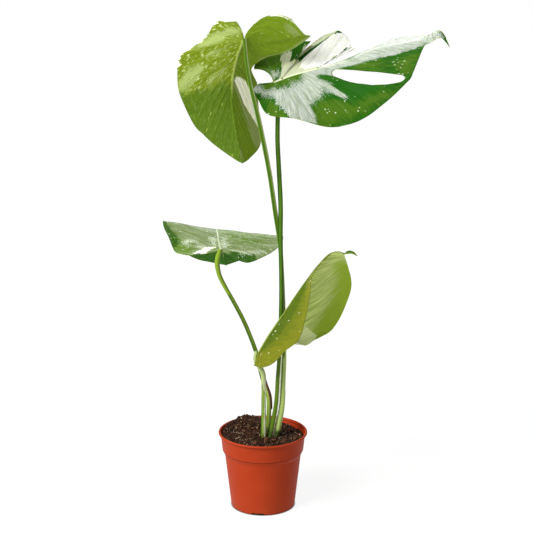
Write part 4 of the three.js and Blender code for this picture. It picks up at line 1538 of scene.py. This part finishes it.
BLADES = (
    Blade(
        name="blade_upper_left", node="leaf_upper_left", slot="leaf_underside",
        upper=GLOSSY_UPPER, under=MATTE_UNDER, rib_width=0.8, rib_fade=0.55, groove=0.25,
        spine=(
            (-23, -22, 635), (-32, -12, 612), (-38, -4, 584), (-39, 0, 553), (-34, -3, 514), (-26, -12, 475),
        ),
        left=Half(
            lean=(0.3, 0.0),
            lobes=(
                (
                    (0, -33, -18, 657, -1.8), (0, -43, -14, 656), (0, -59, -9, 655), (0, -72, -3, 636),
                    (0, -96, 2, 618), (0.02, -109, 4, 613), (0.06, -109, 5, 595), (0.14, -107, 5, 565),
                    (0.3, -90, 3, 525), (0.44, -76, 0, 510), (0.6, -60, -4, 496), (0.84, -36, -10, 480),
                ),
            ),
            marks={
                Mark.LIGHT: (
                    # Painted light: this soft light patch stands for light glowing through the blade.
                    ((0, -5, 99), (90, -5, 99), (98, -5, 80), (106, -5, 54), (118, -5, 24), (134, -5, 2)),
                ),
                Mark.SILVER: (
                    ((2, 8, 14), (20, 16, 30), (29, 25, 46), (36, 30, 58), (42, 40, 64), (47, 58, 72)),
                    ((74, 60, 74), (78, 50, 78), (82, 52, 90), (87, 60, 92), (92, 72, 88)),
                    ((63, 28, 46), (66, 28, 50), (68, 34, 46)),
                    ((99, 20, 42), (102, 18, 48), (105, 26, 44)),
                ),
                Mark.CREAM: (
                    ((44, 74, 84), (50, 78, 95), (58, 85, 97), (66, 88, 97)),
                    ((6, 30, 37), (17, 42, 47), (30, 53, 59), (40, 66, 76)),
                ),
            },
        ),
        right=Half(
            lean=(0.8, 0.0),
            lobes=(
                (
                    (0, -15, -21, 649, -1.5), (0, -2, -18, 660), (0, 14, -14, 665), (0, 31, -10, 663),
                    (0.02, 41, -7, 652.5), (0.06, 53, -3, 639), (0.12, 60, 0, 636), (0.15, 44, 0, 624),
                    (0.17, 30, 0, 616.5), (0.18, 15.6, 0, 612.7), (0.19, 3.4, 1, 608.5), (0.2, -8.8, 3, 600.8),
                    (0.21, -14.2, 8, 593.8), (0.24, -12.5, 16, 585.7), (0.28, -6.5, 27, 570),
                    (0.33, -6, 36, 549), (0.44, -4, 38, 520), (0.6, -3, 26, 493), (0.84, -17, 2, 479),
                ),
            ),
            marks={
                # Painted light: the whole half takes the dark tone, lighter than the base, to stand for light
                # glowing through a half that lies in shade.
                Mark.DARK: (((-30, -5, 99), (120, -5, 99), (250, -5, 99)),),
                Mark.SILVER: (
                    ((38, 56, 62), (44, 60, 70), (50, 70, 77)),
                    ((55, 87, 99), (64, 79, 90), (71, 71, 84), (80, 58, 70), (88, 44, 56), (98, 32, 40)),
                    ((148, -5, 5), (160, 1, 12), (170, 9, 22), (176, 18, 32), (184, 24, 36)),
                    ((174, 30, 76), (182, 26, 76), (192, 30, 76), (202, 36, 72), (210, 46, 70)),
                    ((238, -5, 3), (243, -5, 4), (248, -5, 4)),
                ),
                Mark.CREAM: (
                    ((19, 46, 54), (26, 55, 62), (32, 62, 69), (37, 70, 78)),
                    (
                        (139, 9, 26), (145, 6, 38), (151, 4, 50), (163, 16, 60), (173, 28, 68), (178, 44, 74),
                        (182, 60, 76),
                    ),
                ),
            },
        ),
    ),
    Blade(
        name="blade_upper_right", node="leaf_upper_right", slot="leaf_glossy",
        upper=GLOSSY_UPPER, under=MATTE_UNDER, rib_fade=0.5,
        spine=(
            (14.5, -2.8, 578.5), (37, 4, 586), (73, 10, 595), (111, 12, 605), (142, 10, 618), (177, 6, 626),
            (206, 2, 631), (215, 1, 636), (223, 0, 639), (231, -1, 634), (237, -2, 623),
        ),
        left=Half(
            lean=(-0.2, 0.0),
            cuts=((0.3, 1), (0.3, 1)),
            lobes=(
                (
                    (0, -11, 6, 593.5, 8), (0, -10, 12, 598, 6), (0, 4, 24, 616), (0, 31, 30, 625),
                    (0.04, 62, 34, 626),
                ),
                (
                    (0.04, 66, 42, 623, -4), (0.06, 77, 50, 630), (0.08, 89, 56, 634), (0.1, 99, 61, 636),
                    (0.14, 110, 60, 627), (0.24, 115, 52, 615),
                ),
                (
                    (0.24, 123, 70, 614), (0.32, 142, 80, 620), (0.42, 160, 76, 623), (0.54, 179, 64, 627),
                    (0.7, 199, 38, 632), (0.83, 210, 7, 637), (0.92, 224, 3, 643),
                ),
            ),
            marks={
                Mark.DARK: (
                    ((54, 30, 34), (59, 30, 48), (64, 38, 64), (69, 48, 78), (74, 64, 90), (79, 82, 99)),
                ),
                # Painted light: this light patch brightens the basal lobe that the upper left leaf's lobe shades.
                Mark.LIGHT: (((-30, -5, 99), (10, -5, 99), (20, -5, 60), (27, -5, 40)),),
                Mark.SAGE: (
                    ((28, 34, 46), (31, 24, 46), (36, 12, 46), (38, 4, 40), (40, 3, 34)),
                    (
                        (37, -5, 28), (45, -5, 34), (56, -5, 34), (66, -5, 32), (80, -5, 20), (100, -5, 9),
                        (112, -5, 3),
                    ),
                    ((47, 32, 60), (51, 36, 68), (55, 46, 74), (62, 62, 82), (70, 76, 94), (77, 90, 99)),
                ),
                Mark.SILVER: (
                    ((10, 4, 12), (20, 6, 15), (30, 9, 15), (37, 6, 12)),
                    ((103, -5, 99), (120, -5, 99), (141, -5, 99)),
                    ((140, 26, 99), (147, 30, 99)),
                    ((146, -5, 99), (200, -5, 99), (240, -5, 99), (252, -5, 4)),
                ),
                Mark.CREAM: (
                    (
                        (63, 31, 36), (67, 30, 56), (71, 28, 70), (77, 20, 88), (85, 14, 99), (96, 8, 99),
                        (104, 6, 99),
                    ),
                    ((103, 5, 99), (112, 0, 99), (124, 6, 99), (136, 20, 99), (146, 46, 99), (160, 60, 99)),
                ),
            },
        ),
        right=Half(
            lean=(-0.15, 0.0),
            cuts=((0.17, 0.94),),
            lobes=(
                (
                    (0, -5, -11, 578), (0, -10.5, -14, 573), (0, -12, -19, 567), (0, -6, -24, 560),
                    (0, 7, -34, 542), (0.02, 41, -36, 537), (0.06, 82, -34, 526), (0.1, 110, -30, 529),
                    (0.14, 131, -24, 537), (0.17, 151, -18, 551), (0.2, 166, -14, 563),
                    (0.24, 187, -8, 583, -14),
                ),
                (
                    (0.24, 189, -6, 586, 2), (0.42, 198, -2, 608), (0.65, 205, 0, 624), (0.83, 212, 0, 628),
                    (0.92, 225, -1, 634),
                ),
            ),
            marks={
                Mark.DARK: (
                    ((-9, 27, 99), (14, 27, 99), (25, 27, 99), (28, 28, 60)),
                    ((104, 32, 50), (112, 44, 60), (124, 30, 78), (140, 34, 84), (158, 50, 100)),
                ),
                Mark.LIGHT: (
                    (
                        (2, -5, 19), (11, -5, 20), (33, -5, 11), (72, -5, 13), (98, -5, 14), (112, -5, 8),
                        (125, -5, 2),
                    ),
                    ((24, 26, 60), (33, 33, 99), (41, 44, 99), (47, 60, 99)),
                    (
                        (64, 66, 84), (80, 52, 90), (97, 50, 88), (108, 58, 92), (120, 84, 98), (135, 88, 102),
                        (146, 98, 108),
                    ),
                    ((163, 36, 70), (172, 32, 60), (180, 34, 52)),
                    ((164, 86, 106), (180, 68, 90), (196, 58, 76)),
                ),
                Mark.SILVER: (
                    (
                        (4, 19, 32), (11, 20, 29), (22, 13, 23), (30, 11, 23), (36, 10, 31), (41, 11, 42),
                        (46, 12, 58), (52, 13, 68), (68, 13, 74), (74, 13, 62), (78, 13, 49), (90, 13, 47),
                        (103, 12, 46), (112, 8, 40), (120, 4, 32), (128, -5, 22), (136, -5, 15), (146, -5, 20),
                        (158, -5, 25), (172, -5, 28), (190, -5, 31), (196, -5, 44), (210, -5, 43),
                        (218, -5, 40), (236, -5, 13), (262, -5, 12),
                    ),
                    ((114, 20, 46), (118, 20, 66), (123, 20, 66), (128, 10, 36)),
                ),
            },
        ),
    ),
    Blade(
        name="blade_middle_left", node="leaf_middle_left", slot="leaf_silvery",
        upper=SILVER_UPPER, under=SILVER_UNDER,
        spine=(
            (-55, -12, 360), (-58, 2, 368), (-60, 20, 375), (-62, 38, 376), (-61, 62, 365), (-57, 86, 339),
            (-51, 104, 309),
        ),
        left=Half(
            lean=(0.35, 0.0),
            lobes=(
                (
                    (0, -83, -22, 359, 1.5), (0, -94, -26, 357), (0, -106, -24, 358), (0.02, -115, -16, 360),
                    (0.06, -123, 2, 373), (0.18, -131, 22, 383), (0.33, -132, 37, 387), (0.5, -124, 62, 361),
                    (0.65, -110, 82, 335), (0.8, -91, 94, 320), (0.92, -69, 101, 313),
                ),
            ),
            marks={
                Mark.DARK: (
                    (
                        (16, 57, 99), (24, 54, 99), (31, 51, 99), (38, 55, 99), (49, 58, 99), (60, 64, 99),
                        (72, 69, 99),
                    ),
                    ((-10, 48, 99), (8, 44, 99), (16, 46, 60)),
                ),
                Mark.LIGHT: (
                    ((-20, 33, 80), (7, 31, 80), (15, 30, 74), (24, 32, 60), (31, 40, 52), (36, 44, 48)),
                ),
                Mark.SILVER: (
                    ((31, 40, 46), (34, 36, 48), (37, 34, 42)),
                    ((23, 20, 28), (27, 18, 32), (31, 14, 28)),
                    ((34, 3, 12), (44, 4, 12), (54, 3, 9)),
                ),
                Mark.CREAM: (((2, 20, 36), (9, 19, 38), (15, 16, 33), (21, 12, 25), (26, 6, 19), (29, 3, 8)),),
            },
        ),
        right=Half(
            lean=(-0.3, 0.0),
            lobes=(
                (
                    (0, -35, -24, 351, 3), (0, -19, -26, 347), (0, -1, -16, 351), (0.02, 15, -2, 357),
                    (0.06, 24, 14, 362), (0.33, 27, 33, 367), (0.5, 19, 58, 352), (0.65, 1, 78, 334),
                    (0.8, -18, 92, 323), (0.92, -34, 99, 316),
                ),
            ),
            marks={
                Mark.DARK: (((-9, 7, 99), (8, 11, 99), (16, 13, 52), (21, 15, 48), (25, 24, 42)),),
                Mark.LIGHT: (
                    ((57, 9, 26), (62, 10, 42), (68, 6, 46), (73, 4, 30)),
                    ((46, 28, 58), (51, 24, 62), (56, 28, 58)),
                ),
                Mark.SAGE: (((25, 40, 60), (28, 34, 62), (31, 40, 56)),),
                Mark.SILVER: (
                    ((35, 2, 9), (44, 3, 12), (56, 3, 10)),
                    ((21, 28, 38), (25, 20, 34), (28, 16, 26)),
                ),
            },
        ),
    ),
    Blade(
        name="blade_lower_right", node="leaf_lower_right", slot="leaf_young",
        upper=YOUNG_UPPER, under=YOUNG_UNDER,
        spine=(
            (-6, -27, 222.5), (6.8, -29, 246), (30, -32, 283), (51.5, -34, 317), (72.6, -33, 346),
            (88, -32, 361), (98, -31.5, 362.5), (106, -32, 360.3), (111, -33, 362.8), (117, -34, 363),
            (122, -35, 358),
        ),
        left=Half(
            lean=(0.3, 0.0),
            lobes=(
                (
                    (0, -12, -34, 209), (0, -1, -44, 210), (0, 11, -52, 217), (0.03, 19, -58, 226),
                    (0.08, 29, -64, 240), (0.16, 43, -69, 253), (0.24, 50, -71, 267), (0.32, 53, -71, 280),
                    (0.42, 57, -69, 297), (0.53, 60, -64, 318), (0.6, 62.4, -56, 335.3),
                    (0.7, 72.5, -44, 348.2), (0.78, 81.7, -38, 356.1), (0.85, 88.9, -35, 362),
                    (0.89, 97, -33.5, 364), (0.915, 105, -33.4, 361.6), (0.94, 109.5, -33.8, 364.8),
                    (0.965, 115.5, -34.5, 364.2),
                ),
            ),
            marks={
                Mark.DARK: (
                    # Painted shade: this thin dark band along the midrib darkens the near half's top.
                    ((26, -5, 5), (50, -5, 14), (80, -5, 18), (115, -5, 18), (142, -5, 12)),
                    ((209, -5, 60), (216, -5, 60), (250, -5, 60)),
                ),
                Mark.LIGHT: (
                    # Painted light: this broad light patch lightens the near half towards its lower margin.
                    (
                        (-9, -5, 99), (14, -5, 99), (26, 3, 99), (42, 20, 99), (60, 28, 99), (78, 35, 99),
                        (92, 34, 99), (108, 28, 99), (126, 21, 99), (142, 17, 60),
                    ),
                ),
            },
        ),
        right=Half(
            lean=(0.2, 0.012),
            lobes=(
                (
                    (0, 4, -27, 219), (0.02, 24, -29, 233), (0.07, 44, -27, 239), (0.1, 56, -23, 233),
                    (0.13, 67, -17, 238), (0.17, 78, -11, 242), (0.23, 90, -5, 248), (0.3, 100, -1, 261),
                    (0.38, 109, 2, 280), (0.48, 116, 3, 302), (0.57, 116, 0, 319), (0.68, 111, -9, 339),
                    (0.85, 106, -25, 356.5), (0.92, 108, -31.5, 360), (0.965, 115, -33.5, 360.8),
                ),
            ),
            marks={
                Mark.DARK: (
                    ((46, 66, 99), (70, 79, 99), (92, 82, 99), (104, 84, 99)),
                    ((197, -5, 60), (203, -5, 60), (250, -5, 60)),
                ),
                Mark.LIGHT: (
                    (
                        (50, 58, 99), (72, 52, 99), (88, 52, 99), (110, 58, 99), (128, 54, 99), (145, 48, 99),
                        (160, 36, 99), (174, 26, 60),
                    ),
                ),
                Mark.CREAM: (
                    (
                        (25, 34, 50), (31, 38, 54), (40, 38, 60), (50, 38, 63), (60, 37, 61), (67, 36, 53),
                        (74, 35, 42),
                    ),
                ),
            },
        ),
    ),
)


@dataclass
class Studio:
    """A floor that glows like a light table, a soft white surround, two lamps and the photograph's camera."""

    floor_size: float = 60.0
    floor_tones: tuple[str, str] = ("#5a5a59", "#5d5d5c")
    eye: tuple[float, float, float] = (0.0048, -2.0, 0.873)
    pitch: float = 15.06
    focal_px: float = 1576.0
    frame_px: float = 533.0
    surround: float = 0.2
    # The table glows except under the pot and just round its foot, a painted contact shadow; far away it glows a
    # little more.
    glow: float = 0.87
    painted_shadow_radii: tuple[float, float] = (0.0422, 0.0452)
    far_glow: float = 0.09
    far_from_to: tuple[float, float] = (0.3, 4.0)
    aim: tuple[float, float, float] = (0.03, 0, 0.35)
    lamp_size: float = 1.4
    key_at: tuple[float, float, float] = (-1.62, -1.49, 2.15)
    key_watts: float = 139.0
    back_at: tuple[float, float, float] = (0.2, 2.4, 1.9)
    back_watts: float = 32.0

    def floor(self) -> None:
        """Lays the floor, an opal light table."""
        mesh = bmesh.new()
        bmesh.ops.create_grid(mesh, x_segments=8, y_segments=8, size=self.floor_size / 2)
        material, tree = new_material("opal_light_table")
        here = add(tree, "TexCoord").outputs["Object"]
        cloud = add(tree, "TexNoise", {"Vector": here, "Scale": 3.0, "Detail": 2.0})
        dark, light = self.floor_tones
        tone = add(tree, "Mix", {0: cloud, 6: linear(dark), 7: linear(light)}, data_type="RGBA").outputs[2]
        away = add(tree, "VectorMath", {0: here}, operation="LENGTH").outputs["Value"]
        (near_low, near_high), (far_low, far_high) = self.painted_shadow_radii, self.far_from_to
        # Painted contact shadow: no glow under the pot, full glow just past its foot.
        near = add(
            tree, "MapRange", {0: away, 1: near_low, 2: near_high, 3: 0.0, 4: self.glow},
            interpolation_type="SMOOTHSTEP",
        )
        far = add(tree, "MapRange", {0: away, 1: far_low, 2: far_high, 3: 0.0, 4: self.far_glow})
        both = add(tree, "Math", {0: near, 1: far}, operation="ADD")
        white = linear("#ffffff")
        glow = {"Emission Color": white, "Emission Strength": both}
        end_material(tree, {"Base Color": tone, "Roughness": 0.9} | glow)
        place(mesh, "floor", material)

    def lamp(self, name: str, at: tuple[float, float, float], watts: float) -> None:
        """Hangs a square soft light that faces the plant.

        Args:
            name: The light's name.
            at: Its place in metres.
            watts: Its power.
        """
        data = bpy.data.lights.new(name, "AREA")
        data.size, data.energy = self.lamp_size, watts
        light = bpy.data.objects.new(name, data)
        light.location = at
        light.rotation_euler = (Vector(self.aim) - Vector(at)).to_track_quat("-Z", "Y").to_euler()
        bpy.context.scene.collection.objects.link(light)

    def camera(self) -> None:
        """Places the camera that took the photograph."""
        lens = bpy.data.cameras.new("photo_camera")
        lens.sensor_width, lens.sensor_fit = 36.0, "HORIZONTAL"
        lens.lens = self.focal_px / self.frame_px * lens.sensor_width
        lens.clip_end = 200.0
        camera = bpy.data.objects.new("photo_camera", lens)
        camera.location = self.eye
        camera.rotation_euler = (math.radians(90 - self.pitch), 0, 0)
        bpy.context.scene.collection.objects.link(camera)
        bpy.context.scene.camera = camera

    def build(self) -> None:
        """Sets up the surround, the floor, the lamps and the camera."""
        scene = bpy.context.scene
        scene.view_settings.view_transform = "Standard"
        scene.world = bpy.data.worlds.new("surround")
        scene.world.use_nodes = True
        tree = scene.world.node_tree
        tree.nodes.clear()
        white = add(tree, "Background", {"Color": linear("#ffffff"), "Strength": self.surround})
        add(tree, "OutputWorld", {"Surface": white})
        self.floor()
        self.lamp("key", self.key_at, self.key_watts)
        self.lamp("back", self.back_at, self.back_watts)
        self.camera()


def dress_stem() -> None:
    """Gives the stem, whose own solid stays, its corky skin."""
    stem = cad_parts["stem"]
    stem.data.materials.clear()
    stem.data.materials.append(STEM_SKIN.make())
    LOG.info("stem: its own solid in a new skin")


def main() -> None:
    """Builds the plant piece by piece and reports each."""
    logging.basicConfig(level=logging.INFO, format="%(name)s %(message)s")
    Studio().build()
    Pot().build()
    Soil().build()
    dress_stem()
    for stalk in STALKS:
        stalk.build()
    DrySheath(rows=MIDDLE_ROWS).build()
    for blade in BLADES:
        blade.build()


if __name__ == "__main__":
    main()
